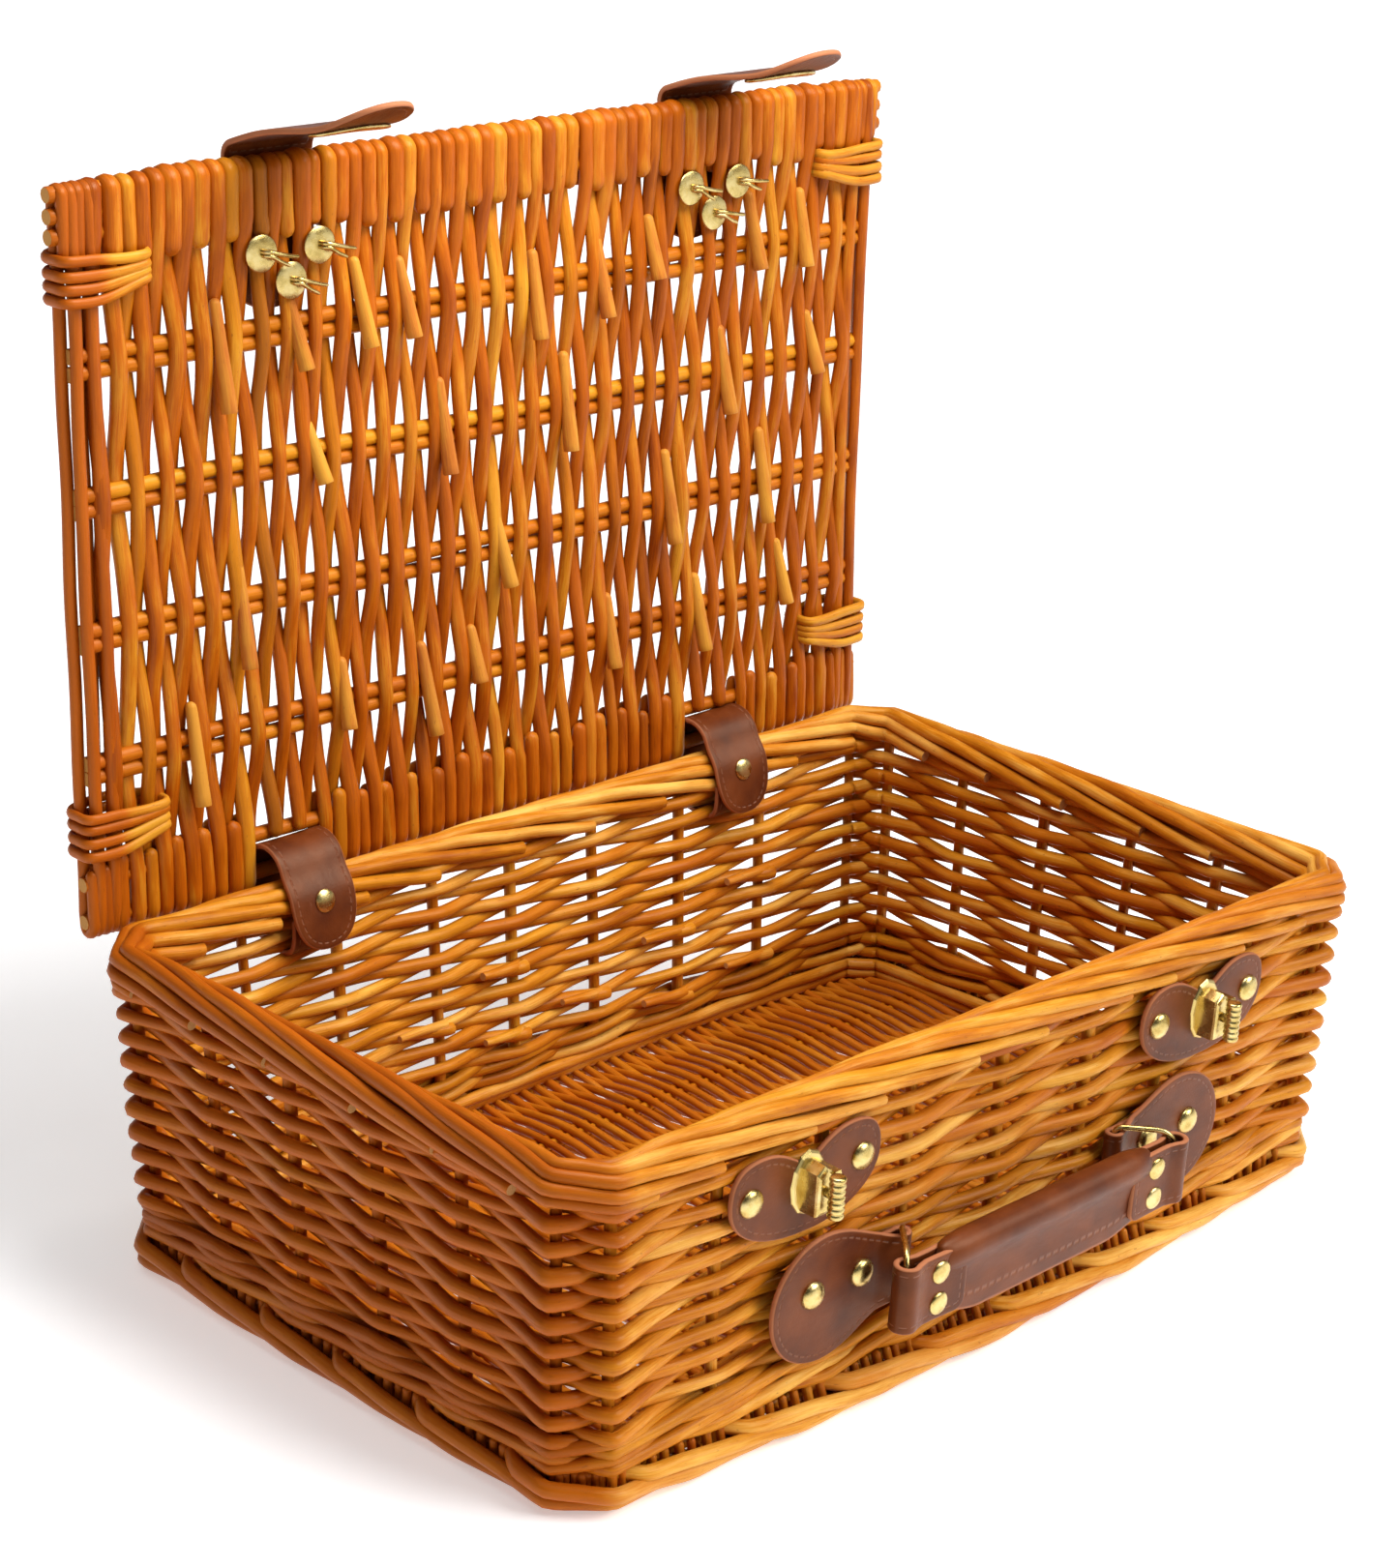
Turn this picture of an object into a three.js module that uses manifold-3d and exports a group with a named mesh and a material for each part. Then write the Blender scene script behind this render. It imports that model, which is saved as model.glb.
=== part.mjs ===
// A willow picnic hamper: woven basket, hinged lid, leather straps, brass turn locks and a carrying handle.
// Millimetres. The origin is the centre of the base's underside, +X runs to the right along the front,
// +Y runs to the back and +Z is up. The lid stands open, as the hamper is shown with its joints at rest.

import * as THREE from "three";
import { mergeVertices } from "three/addons/utils/BufferGeometryUtils.js";
import Module from "manifold-3d";

const wasm = await Module();
wasm.setup();

// Driving dimensions of the basket
const RIM_WIDTH = 478;
const RIM_DEPTH = 308;
const RIM_HEIGHT = 150;
const TAPER = 7.5; // how much further out each side stands at the rim than at the base
const CORNER_CUT = 18; // the corners are cut across, with a stake on each side of the cut
const GAP = 0.3; // left between pieces that touch
const WALL = 12;
const WALL_INSET = 1; // the weave stands this far inside the rim's own line
const FOOT_WIDTH = 13;
const FOOT_HEIGHT = 7;
const BASE_HEIGHT = 11;
const WALE_TOP = 26;
const WALE_WIDTH = 14;
const WALE_PROUD = 1;
const BORDER_WIDTH = 16.5;
const BORDER_HEIGHT = 16.5;
const BORDER_ROUND = 5;

// The lid, in its own frame: the origin is the pivot on the rim's outer top edge, +Y is the way through its
// thickness to the outside and +Z runs from the hinge rail to the front rail
const LID_WIDTH = 468;
const LID_TOP = 311;
const LID_MIDDLE = 8; // from the pivot's plane to the middle of the lid's thickness
const LID_THICKNESS = 11.4;
const LID_WRAP = 6.7; // radius of the weave where it turns round a rail
const HINGE_RAIL_Z = 3;
const HINGE_RAIL_RADIUS = 4;
const FRONT_RAIL_RADIUS = 4.4;
const FRONT_RAIL_Z = LID_TOP - LID_WRAP;
const SIDE_RODS = 13.4;
const RIB_COUNT = 4;
const RIB_FIRST = 65.5;
const RIB_PITCH = 57;
const RIB_ROD = 5;
const RIB_HEIGHT = 10.4;
const BINDING_HEIGHT = 26;
const BINDING_REACH = 42.7;
const BINDING_SKIN = 1.5;
const BINDING_ROWS = { rear: 39, front: 271 };

// Leather and its fastenings
const LEATHER = 2.2;
const STRAP_X = 128; // hinge straps, either side of the middle
const STRAP_WIDTH = 42;
const STRAP_ARCH = 14.6; // middle radius of the strap's arch over the pivot
const FLAP_INSET = 22.1; // from the pivot to the middle of the inner flap
const FLAP_BOTTOM = 118;
const TAIL_TOP = 146;
const TAIL_LEVEL = 119;
const STRAP_RIVET_Z = 138;
const NOTCH_TOP = 23.3; // the lid's weave stops here above each strap

const LOCK_X = 122;
const LOCK_UP = 112;
const PATCH_UP = 110;
const PATCH_HALF = 41;
const PATCH_RISE = 20;
const PATCH_DIP = 12;
const LATCH_RIVET_X = 30.5;
const LATCH_RIVET_UP = 113;
const PLATE_WIDTH = 19;
const PLATE_HEIGHT = 27;
const PLATE_THICKNESS = 1.5;
const PLATE_EDGE = 0.5; // rounding of a brass plate's edge
const STAPLE_WIDTH = 8.5;
const STAPLE_HEIGHT = 21;
const STAPLE_REACH = 8.5;
const BARREL_LENGTH = 18;
const BARREL_RADIUS = 3.3;
const BARREL_GROOVE = 0.5;
const BARREL_RIBS = 7;
const BARREL_STAND = 5.6; // from the staple's end to the middle of the barrel
const SPINDLE_RADIUS = 2;
const SPINDLE_DEPTH = 5;

const HANDLE_UP = 57;
const TAB_RIVET_UP = 61;
const TAB_RIVETS = { inner: 88.8, outer: 116.5 };
const TAB_LOOP_X = 66.4;
const TAB_LOOP_OUT = 4.6;
const TAB_END_X = 138;
const TAB_HALF = 28;
const LOOP_HALF = 14.6; // half the height of each leather loop
const RING_REACH = 26; // between the ring's two upright bars
const RING_SPLAY = THREE.MathUtils.degToRad(48); // between the wall and the ring
const RING_WIRE = 1.2;
const RING_HALF = 17;
const RING_CORNER = 3.2;
const GRIP_HALF = 62;
const GRIP_ROLL = 7;
const GRIP_RISE = 11; // the roll's middle above the handle's middle
const GRIP_DROP = 18;
const GRIP_SKIRT = 2.6; // half the thickness of the stitched skirt under the roll
const HANDLE_LOOP_X = 84.4;
const HANDLE_LOOP_IN = 76.3;
const HANDLE_LOOP_GAP = 2.1;
const HANDLE_RIVET_X = 67.4;
const HANDLE_RIVET_RISE = 7;

const HASP_WIDTH = 46;
const HASP_ROOT_BOTTOM = 244;
const HASP_FOLD_Z = 307.3;
const HASP_BEND = 6.5;
const HASP_LIFT = THREE.MathUtils.degToRad(17); // above level while the lid stands open
const HASP_STEM = 7.5;
const HASP_LENGTH = 80;
const HASP_SLOT_AT = 47.2;
const HASP_TIP_WIDTH = 38;
const HASP_PLATE = { width: 24, length: 38, thickness: 1.6 };
const HASP_SLOT = { width: 11.5, length: 25, corner: 2 };
const PINS = [
  { name: "inner", x: -15, z: 271 },
  { name: "outer", x: 15, z: 271 },
  { name: "lower", x: 0, z: 258 },
];
const PIN_RADIUS = 1.6;
const PIN_LEG_LIFT = 0.12; // how steeply each bent leg stands off the washer

const BIG_RIVET = { head: 6, shank: 2, rise: 3.4 };
const SMALL_RIVET = { head: 4.9, shank: 1.5, rise: 2.4 };
const ROUND = 12; // sides of a round piece

const SIDES = { left: -1, right: 1 };

// The front wall's outer face, as a frame: x along the wall, -y out of it, z up it
const LEAN = Math.atan(TAPER / RIM_HEIGHT);
const FACE_Y = -(RIM_DEPTH / 2 - TAPER - WALL_INSET);
const WALL_DEEP = WALL * Math.cos(LEAN);
const HANDLE_OUT = TAB_LOOP_OUT + RING_REACH * Math.sin(RING_SPLAY);

const FINISHES = {
  willow: { color: 0xc98330, roughness: 0.5, metalness: 0 },
  rib_willow: { color: 0xd18a1c, roughness: 0.5, metalness: 0 },
  leather: { color: 0x6a2c18, roughness: 0.45, metalness: 0 },
  brass: { color: 0xd6c47a, roughness: 0.28, metalness: 1 },
};

// ---- solids ----

function solid(geometry) {
  const bare = geometry.clone();
  bare.deleteAttribute("normal");
  bare.deleteAttribute("uv");
  const merged = mergeVertices(bare, 1e-4);
  return new wasm.Manifold(
    new wasm.Mesh({
      numProp: 3,
      vertProperties: merged.attributes.position.array,
      triVerts: new Uint32Array(merged.index.array),
    }),
  );
}

function surface(manifold) {
  const mesh = manifold.getMesh();
  const geometry = new THREE.BufferGeometry();
  geometry.setAttribute("position", new THREE.BufferAttribute(mesh.vertProperties, 3));
  geometry.setIndex(new THREE.BufferAttribute(mesh.triVerts, 1));
  geometry.computeVertexNormals();
  return geometry;
}

function join(...geometries) {
  const all = geometries.map(solid);
  return surface(all.reduce((sum, next) => sum.add(next)));
}

function cut(geometry, ...tools) {
  const rest = tools.map(solid).reduce((sum, tool) => sum.subtract(tool), solid(geometry));
  return surface(rest);
}

function common(a, b) {
  return surface(solid(a).intersect(solid(b)));
}

function place(parent, name, finish, geometry) {
  const mesh = new THREE.Mesh(geometry, new THREE.MeshStandardMaterial(FINISHES[finish]));
  mesh.name = name;
  parent.add(mesh);
}

// ---- shapes ----

// A rectangle with its corners cut across.
function cutRectangle(halfX, halfY, corner, Kind = THREE.Shape) {
  const outline = new Kind();
  outline.moveTo(halfX - corner, halfY);
  outline.lineTo(-halfX + corner, halfY);
  outline.lineTo(-halfX, halfY - corner);
  outline.lineTo(-halfX, -halfY + corner);
  outline.lineTo(-halfX + corner, -halfY);
  outline.lineTo(halfX - corner, -halfY);
  outline.lineTo(halfX, -halfY + corner);
  outline.lineTo(halfX, halfY - corner);
  outline.closePath();
  return outline;
}

function roundedRectangle(halfX, halfY, radius, Kind = THREE.Shape) {
  const outline = new Kind();
  outline.moveTo(halfX, halfY - radius);
  outline.absarc(halfX - radius, halfY - radius, radius, 0, Math.PI / 2);
  outline.absarc(-halfX + radius, halfY - radius, radius, Math.PI / 2, Math.PI);
  outline.absarc(-halfX + radius, -halfY + radius, radius, Math.PI, Math.PI * 1.5);
  outline.absarc(halfX - radius, -halfY + radius, radius, -Math.PI / 2, 0);
  outline.closePath();
  return outline;
}

function ellipse(halfX, halfY) {
  const outline = new THREE.Shape();
  outline.absellipse(0, 0, halfX, halfY, 0, Math.PI * 2);
  return outline;
}

// The section of a sheet of leather that follows a path.
function ribbon(path, thickness, pointsPerCurve = 5) {
  const points = path.getPoints(pointsPerCurve);
  const line = points.filter((point, i) => i === 0 || point.distanceTo(points[i - 1]) > 1e-3);
  const offset = (side) =>
    line.map((point, i) => {
      const before = line[Math.max(i - 1, 0)];
      const after = line[Math.min(i + 1, line.length - 1)];
      const along = after.clone().sub(before).normalize();
      return new THREE.Vector2(-along.y, along.x).multiplyScalar((side * thickness) / 2).add(point);
    });
  return new THREE.Shape([...offset(1), ...offset(-1).reverse()]);
}

function prism(shape, depth, curveSegments = 6) {
  return new THREE.ExtrudeGeometry(shape, { depth, curveSegments, bevelEnabled: false });
}

function bevelledPrism(shape, height, bevel, curveSegments = 6, bevelSegments = 2) {
  const geometry = new THREE.ExtrudeGeometry(shape, {
    depth: height - 2 * bevel,
    curveSegments,
    bevelThickness: bevel,
    bevelSize: bevel,
    bevelOffset: -bevel,
    bevelSegments,
  });
  return geometry.translate(0, 0, bevel);
}

// A section drawn in the Y-Z plane, made into a bar along X that is centred on x = 0.
function alongX(shape, length, curveSegments = 6) {
  const turn = new THREE.Matrix4().makeBasis(
    new THREE.Vector3(0, 1, 0),
    new THREE.Vector3(0, 0, 1),
    new THREE.Vector3(1, 0, 0),
  );
  return prism(shape, length, curveSegments).applyMatrix4(turn).translate(-length / 2, 0, 0);
}

// A shape drawn on a face that looks along -Y: it stands out of the face from one height to another.
function offFace(geometry, inner) {
  return geometry.rotateX(Math.PI / 2).translate(0, -inner, 0);
}

function box(width, depth, height, x, y, z) {
  return new THREE.BoxGeometry(width, depth, height).translate(x, y, z);
}

function rodAlongX(radius, length, y, z) {
  return new THREE.CylinderGeometry(radius, radius, length, ROUND).rotateZ(Math.PI / 2).translate(0, y, z);
}

function rodAlongY(radius, length, x, y, z) {
  return new THREE.CylinderGeometry(radius, radius, length, ROUND).translate(x, y, z);
}

// A turned piece on the Y axis, with its profile given as [radius, out] pairs, out being the way to -Y.
function turned(profile, sides = ROUND) {
  const points = profile.map(([radius, out]) => new THREE.Vector2(radius, out));
  return new THREE.LatheGeometry(points, sides).rotateX(Math.PI);
}

// The walls stand further out the higher they go.
function taper(geometry) {
  const position = geometry.attributes.position;
  for (let i = 0; i < position.count; i++) {
    const out = (TAPER * position.getZ(i)) / RIM_HEIGHT;
    position.setX(i, position.getX(i) + Math.sign(position.getX(i)) * out);
    position.setY(i, position.getY(i) + Math.sign(position.getY(i)) * out);
  }
  return geometry;
}

// Moves a geometry drawn in the front wall's frame into the hamper's frame.
function ontoFront(geometry) {
  return geometry.rotateX(LEAN).translate(0, FACE_Y, 0);
}

// A round-headed rivet through everything between the heights from and to above the face.
function rivet(size, from, to) {
  const foot = size.head * 0.9;
  return turned([
    [0, from - 2.2],
    [size.shank + 0.6, from - 1.9],
    [size.shank + 0.9, from - GAP - 0.9],
    [foot, from - GAP - 0.9],
    [foot, from - GAP],
    [size.shank, from - GAP],
    [size.shank, to + GAP],
    [size.head, to + GAP],
    [size.head * 0.86, to + GAP + size.rise * 0.55],
    [size.head * 0.5, to + GAP + size.rise * 0.9],
    [0, to + GAP + size.rise],
  ]);
}

// Round wire through a closed loop of points.
function wireLoop(points, radius) {
  const pieces = points.flatMap((start, i) => {
    const end = points[(i + 1) % points.length];
    const along = end.clone().sub(start);
    const bar = new THREE.CylinderGeometry(radius, radius, along.length(), 8);
    const turn = new THREE.Quaternion().setFromUnitVectors(new THREE.Vector3(0, 1, 0), along.normalize());
    bar.applyQuaternion(turn);
    const middle = start.clone().add(end).multiplyScalar(0.5);
    bar.translate(middle.x, middle.y, middle.z);
    const joint = new THREE.SphereGeometry(radius, 8, 6).applyQuaternion(turn);
    joint.translate(start.x, start.y, start.z);
    return [bar, joint];
  });
  return join(...pieces);
}

// ---- basket ----

function woodRing(halfX, halfY, width, height, bevel) {
  const ring = cutRectangle(halfX, halfY, CORNER_CUT);
  const inside = CORNER_CUT - width * (2 - Math.SQRT2);
  ring.holes.push(cutRectangle(halfX - width, halfY - width, Math.max(inside, 1), THREE.Path));
  return bevel ? bevelledPrism(ring, height, bevel) : prism(ring, height);
}

function basePanel() {
  const halfX = RIM_WIDTH / 2 - TAPER - FOOT_WIDTH - 1;
  const halfY = RIM_DEPTH / 2 - TAPER - FOOT_WIDTH - 1;
  return prism(cutRectangle(halfX, halfY, CORNER_CUT / 2), BASE_HEIGHT);
}

function footBorder() {
  return woodRing(RIM_WIDTH / 2 - TAPER, RIM_DEPTH / 2 - TAPER, FOOT_WIDTH, FOOT_HEIGHT, FOOT_HEIGHT * 0.35);
}

function upsettWale() {
  const halfX = RIM_WIDTH / 2 - TAPER + WALE_PROUD;
  const halfY = RIM_DEPTH / 2 - TAPER + WALE_PROUD;
  const bottom = FOOT_HEIGHT + GAP;
  const ring = woodRing(halfX, halfY, WALE_WIDTH, WALE_TOP - bottom, 0);
  return taper(ring.translate(0, 0, bottom));
}

function topBorder() {
  const ring = woodRing(RIM_WIDTH / 2, RIM_DEPTH / 2, BORDER_WIDTH, BORDER_HEIGHT, BORDER_ROUND);
  return ring.translate(0, 0, RIM_HEIGHT - BORDER_HEIGHT);
}

// One side of the woven wall, with half of each cut corner: along is half the wall's length and face is how
// far its outer face stands from the middle, both at the base.
function wallPlan(along, face) {
  const half = CORNER_CUT / 2;
  const innerCut = CORNER_CUT - WALL * (2 - Math.SQRT2);
  const slip = (GAP / 2) * Math.SQRT1_2;
  const right = [
    [along - CORNER_CUT, -face],
    [along - half - slip, -face + half - slip],
    [along - WALL - innerCut / 2 - slip, -face + WALL + innerCut / 2 - slip],
    [along - WALL - innerCut, -face + WALL],
  ];
  const left = right.map(([x, y]) => [-x, y]).reverse();
  return new THREE.Shape([...right, ...left].map(([x, y]) => new THREE.Vector2(x, y)));
}

function wall(along, face, turn) {
  const bottom = WALE_TOP + GAP;
  const top = RIM_HEIGHT - BORDER_HEIGHT - GAP;
  const geometry = prism(wallPlan(along, face), top - bottom).rotateZ(turn).translate(0, 0, bottom);
  return taper(geometry);
}

const WALL_HALF_X = RIM_WIDTH / 2 - TAPER - WALL_INSET;
const WALL_HALF_Y = RIM_DEPTH / 2 - TAPER - WALL_INSET;

function frontWall() {
  const holes = Object.values(SIDES).flatMap((side) => [
    shankHole(side * (LOCK_X - LATCH_RIVET_X), LATCH_RIVET_UP),
    shankHole(side * (LOCK_X + LATCH_RIVET_X), LATCH_RIVET_UP),
    shankHole(side * TAB_RIVETS.inner, TAB_RIVET_UP),
    shankHole(side * TAB_RIVETS.outer, TAB_RIVET_UP),
  ]);
  return cut(wall(WALL_HALF_X, WALL_HALF_Y, 0), ...holes);
}

// The hole for a big rivet through the front wall and the leather on it.
function shankHole(x, up) {
  return ontoFront(rodAlongY(BIG_RIVET.shank + GAP, WALL * 4, x, 0, up));
}

function backWall() {
  const slots = Object.values(SIDES).map((side) =>
    box(STRAP_WIDTH + 2, WALL * 4, LEATHER + 1.4, side * STRAP_X, RIM_DEPTH / 2, TAIL_LEVEL),
  );
  return cut(wall(WALL_HALF_X, WALL_HALF_Y, Math.PI), ...slots);
}

function addBasket(parent) {
  place(parent, "base_panel", "willow", basePanel());
  place(parent, "foot_border", "willow", footBorder());
  place(parent, "upsett_wale", "willow", upsettWale());
  place(parent, "front_wall", "willow", frontWall());
  place(parent, "back_wall", "willow", backWall());
  place(parent, "left_wall", "willow", wall(WALL_HALF_Y, WALL_HALF_X, -Math.PI / 2));
  place(parent, "right_wall", "willow", wall(WALL_HALF_Y, WALL_HALF_X, Math.PI / 2));
  place(parent, "top_border", "willow", topBorder());
}

// ---- hinge straps ----

const PIVOT = new THREE.Vector3(0, RIM_DEPTH / 2 + 0.5, RIM_HEIGHT);

// The strap's way round the rim and the lid's hinge rail, in the Y-Z plane: up behind the flap, out through
// the wall, up the back, over the rail and down the inside as the flap.
function strapPath() {
  const flapY = PIVOT.y - FLAP_INSET;
  const tailY = flapY + LEATHER + GAP;
  const wallOut = RIM_DEPTH / 2 + 1;
  const leave = Math.acos(STRAP_ARCH / FLAP_INSET);
  const path = new THREE.Path();
  path.moveTo(tailY, TAIL_TOP);
  path.lineTo(tailY, TAIL_LEVEL + 5);
  path.quadraticCurveTo(tailY, TAIL_LEVEL, tailY + 5, TAIL_LEVEL);
  path.lineTo(wallOut - 3, TAIL_LEVEL);
  path.quadraticCurveTo(wallOut, TAIL_LEVEL, wallOut + 1.6, TAIL_LEVEL + 3);
  path.lineTo(PIVOT.y + STRAP_ARCH * 0.96, PIVOT.z - STRAP_ARCH * 0.3);
  path.absarc(PIVOT.y, PIVOT.z, STRAP_ARCH, -0.2, Math.PI - leave);
  path.lineTo(flapY + 1.6, PIVOT.z + 1.7);
  path.quadraticCurveTo(flapY, PIVOT.z, flapY, PIVOT.z - 2.4);
  path.lineTo(flapY, FLAP_BOTTOM);
  return path;
}

// Rounds off the flap's lower end and leaves the rest of the strap as it is.
function flapEnd() {
  const half = STRAP_WIDTH / 2;
  const outline = new THREE.Shape();
  outline.moveTo(-half, -half * 0.35);
  outline.absellipse(0, -half * 0.35, half, half * 0.75, Math.PI, Math.PI * 2);
  outline.lineTo(half, -half * 1.5);
  outline.lineTo(-half, -half * 1.5);
  outline.closePath();
  return outline;
}

function hingeStrap() {
  const strap = alongX(ribbon(strapPath(), LEATHER, 8), STRAP_WIDTH);
  const flapY = PIVOT.y - FLAP_INSET;
  const waste = offFace(prism(flapEnd(), LEATHER + GAP), -flapY - LEATHER / 2 - GAP / 2);
  waste.translate(0, 0, FLAP_BOTTOM + STRAP_WIDTH * 0.55);
  const hole = rodAlongY(SMALL_RIVET.shank + GAP, 20, 0, flapY, STRAP_RIVET_Z);
  return cut(strap, waste, hole);
}

function addHingeStraps(parent) {
  const flapFace = PIVOT.y - FLAP_INSET - LEATHER / 2;
  for (const [side, sign] of Object.entries(SIDES)) {
    place(parent, `hinge_strap_${side}`, "leather", hingeStrap().translate(sign * STRAP_X, 0, 0));
    const stud = turned([
      [0, -2 * LEATHER - GAP - 1.1],
      [3.4, -2 * LEATHER - GAP - 1.1],
      [3.4, -2 * LEATHER - 2 * GAP],
      [SMALL_RIVET.shank, -2 * LEATHER - 2 * GAP],
      [SMALL_RIVET.shank, GAP],
      [SMALL_RIVET.head, GAP],
      [SMALL_RIVET.head * 0.9, GAP + 0.9],
      [0, GAP + 1.6],
    ]);
    stud.translate(sign * STRAP_X, flapFace, STRAP_RIVET_Z);
    place(parent, `hinge_rivet_${side}`, "brass", stud);
  }
}

// ---- turn locks on the front wall ----

// The latch patch: two lobes with a dip between them along the top.
function patchOutline() {
  const outline = new THREE.Shape();
  outline.moveTo(0, PATCH_DIP);
  outline.bezierCurveTo(8, PATCH_DIP, 13, PATCH_RISE, 26, PATCH_RISE);
  outline.bezierCurveTo(36, PATCH_RISE, PATCH_HALF, 14, PATCH_HALF, 4);
  outline.bezierCurveTo(PATCH_HALF, -10, 24, -PATCH_RISE, 0, -PATCH_RISE);
  outline.bezierCurveTo(-24, -PATCH_RISE, -PATCH_HALF, -10, -PATCH_HALF, 4);
  outline.bezierCurveTo(-PATCH_HALF, 14, -36, PATCH_RISE, -26, PATCH_RISE);
  outline.bezierCurveTo(-13, PATCH_RISE, -8, PATCH_DIP, 0, PATCH_DIP);
  return outline;
}

function latchPatch() {
  const patch = offFace(prism(patchOutline(), LEATHER, 6), GAP).translate(0, 0, PATCH_UP);
  const holes = [-1, 1].map((end) =>
    rodAlongY(BIG_RIVET.shank + GAP, 20, end * LATCH_RIVET_X, 0, LATCH_RIVET_UP),
  );
  return cut(patch, ...holes);
}

const LOCK_FACE = LEATHER + 2 * GAP; // the lock plate's underside, above the wall
const STAPLE_END = LOCK_FACE + PLATE_THICKNESS + STAPLE_REACH;

function lockPlate() {
  const oval = ellipse(PLATE_WIDTH / 2, PLATE_HEIGHT / 2);
  const plate = offFace(bevelledPrism(oval, PLATE_THICKNESS, PLATE_EDGE, 10, 1), LOCK_FACE);
  const deep = STAPLE_REACH + 1;
  const staple = box(STAPLE_WIDTH, deep, STAPLE_HEIGHT, 0, -STAPLE_END + deep / 2, 0);
  const bore = rodAlongY(SPINDLE_RADIUS + GAP, 2 * (SPINDLE_DEPTH + 1), 0, -STAPLE_END, 0);
  return cut(join(plate, staple), bore);
}

function turnButton() {
  const pitch = BARREL_LENGTH / BARREL_RIBS;
  const profile = [[0, -BARREL_LENGTH / 2]];
  for (let rib = 0; rib < BARREL_RIBS; rib++) {
    const start = -BARREL_LENGTH / 2 + rib * pitch;
    profile.push([BARREL_RADIUS - BARREL_GROOVE, start], [BARREL_RADIUS, start + pitch / 2]);
  }
  profile.push([BARREL_RADIUS - BARREL_GROOVE, BARREL_LENGTH / 2], [0, BARREL_LENGTH / 2]);
  const barrel = turned(profile).rotateX(Math.PI / 2).translate(0, -STAPLE_END - BARREL_STAND, 0);
  const length = BARREL_STAND + SPINDLE_DEPTH;
  const spindle = rodAlongY(SPINDLE_RADIUS, length, 0, -STAPLE_END + SPINDLE_DEPTH - length / 2, 0);
  return join(barrel, spindle);
}

function addTurnLocks(face) {
  for (const [side, sign] of Object.entries(SIDES)) {
    const x = sign * LOCK_X;
    place(face, `latch_patch_${side}`, "leather", latchPatch().translate(x, 0, 0));
    for (const [end, step] of Object.entries({ inner: -sign, outer: sign })) {
      const stud = rivet(BIG_RIVET, -WALL_DEEP, LEATHER + GAP);
      stud.translate(x + step * LATCH_RIVET_X, 0, LATCH_RIVET_UP);
      place(face, `latch_rivet_${side}_${end}`, "brass", stud);
    }
    place(face, `lock_plate_${side}`, "brass", lockPlate().translate(x, 0, LOCK_UP));
    place(face, `turn_button_${side}`, "brass", turnButton().translate(x, 0, LOCK_UP));
  }
}

// ---- carrying handle ----

// A tab's front layer and its loop round the ring's bar, in the X-Y plane.
function tabPath(sign) {
  const front = -(GAP * 2 + LEATHER * 1.5);
  const path = new THREE.Path();
  path.moveTo(sign * TAB_END_X, front);
  path.lineTo(sign * (TAB_LOOP_X + 12), front);
  const radius = TAB_LOOP_OUT - GAP - LEATHER / 2;
  const from = -Math.PI / 2;
  path.quadraticCurveTo(sign * (TAB_LOOP_X + 6), front, sign * TAB_LOOP_X, -TAB_LOOP_OUT - radius);
  path.absarc(sign * TAB_LOOP_X, -TAB_LOOP_OUT, radius, from, from - sign * Math.PI, sign > 0);
  return path;
}

// A big rounded patch that narrows to the height of its loop.
function tabOutline(sign) {
  const outline = new THREE.Shape();
  const loopIn = TAB_LOOP_X - 8;
  const neck = TAB_LOOP_X + 8;
  const widest = 108;
  outline.moveTo(sign * loopIn, -LOOP_HALF);
  outline.lineTo(sign * neck, -LOOP_HALF);
  outline.bezierCurveTo(sign * 82, -LOOP_HALF - 6, sign * 90, -TAB_HALF, sign * widest, -TAB_HALF);
  outline.bezierCurveTo(sign * 127, -TAB_HALF, sign * TAB_END_X, -14, sign * TAB_END_X, 0);
  outline.bezierCurveTo(sign * TAB_END_X, 14, sign * 127, TAB_HALF, sign * widest, TAB_HALF);
  outline.bezierCurveTo(sign * 90, TAB_HALF, sign * 82, LOOP_HALF + 6, sign * neck, LOOP_HALF);
  outline.lineTo(sign * loopIn, LOOP_HALF);
  outline.closePath();
  return outline;
}

function handleTab(sign) {
  const sheet = prism(ribbon(tabPath(sign), LEATHER, 10), TAB_HALF * 2).translate(0, 0, -TAB_HALF);
  const shaped = common(sheet, offFace(prism(tabOutline(sign), 16), -2));
  const length = TAB_RIVETS.outer + 8 - TAB_LOOP_X;
  const middle = sign * (TAB_LOOP_X + length / 2 - GAP);
  const back = box(length, LEATHER, 2 * LOOP_HALF, middle, -GAP - LEATHER / 2, 0);
  const holes = Object.values(TAB_RIVETS).map((x) =>
    rodAlongY(BIG_RIVET.shank + GAP, 30, sign * x, 0, TAB_RIVET_UP - HANDLE_UP),
  );
  return cut(join(shaped, back), ...holes).translate(0, 0, HANDLE_UP);
}

function dRing(sign) {
  const corner = (x, z, from) =>
    [0, 0.5, 1].map((share) => {
      const angle = from + (share * Math.PI) / 2;
      return [x + RING_CORNER * Math.cos(angle), z + RING_CORNER * Math.sin(angle)];
    });
  const farX = RING_REACH - RING_CORNER;
  const farZ = RING_HALF - RING_CORNER;
  const outline = [
    ...corner(farX, farZ, 0),
    ...corner(RING_CORNER, farZ, Math.PI / 2),
    ...corner(RING_CORNER, -farZ, Math.PI),
    ...corner(farX, -farZ, Math.PI * 1.5),
  ];
  const points = outline.map(
    ([reach, z]) =>
      new THREE.Vector3(
        sign * (TAB_LOOP_X + reach * Math.cos(RING_SPLAY)),
        -TAB_LOOP_OUT - reach * Math.sin(RING_SPLAY),
        HANDLE_UP + z,
      ),
  );
  return wireLoop(points, RING_WIRE);
}

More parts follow.
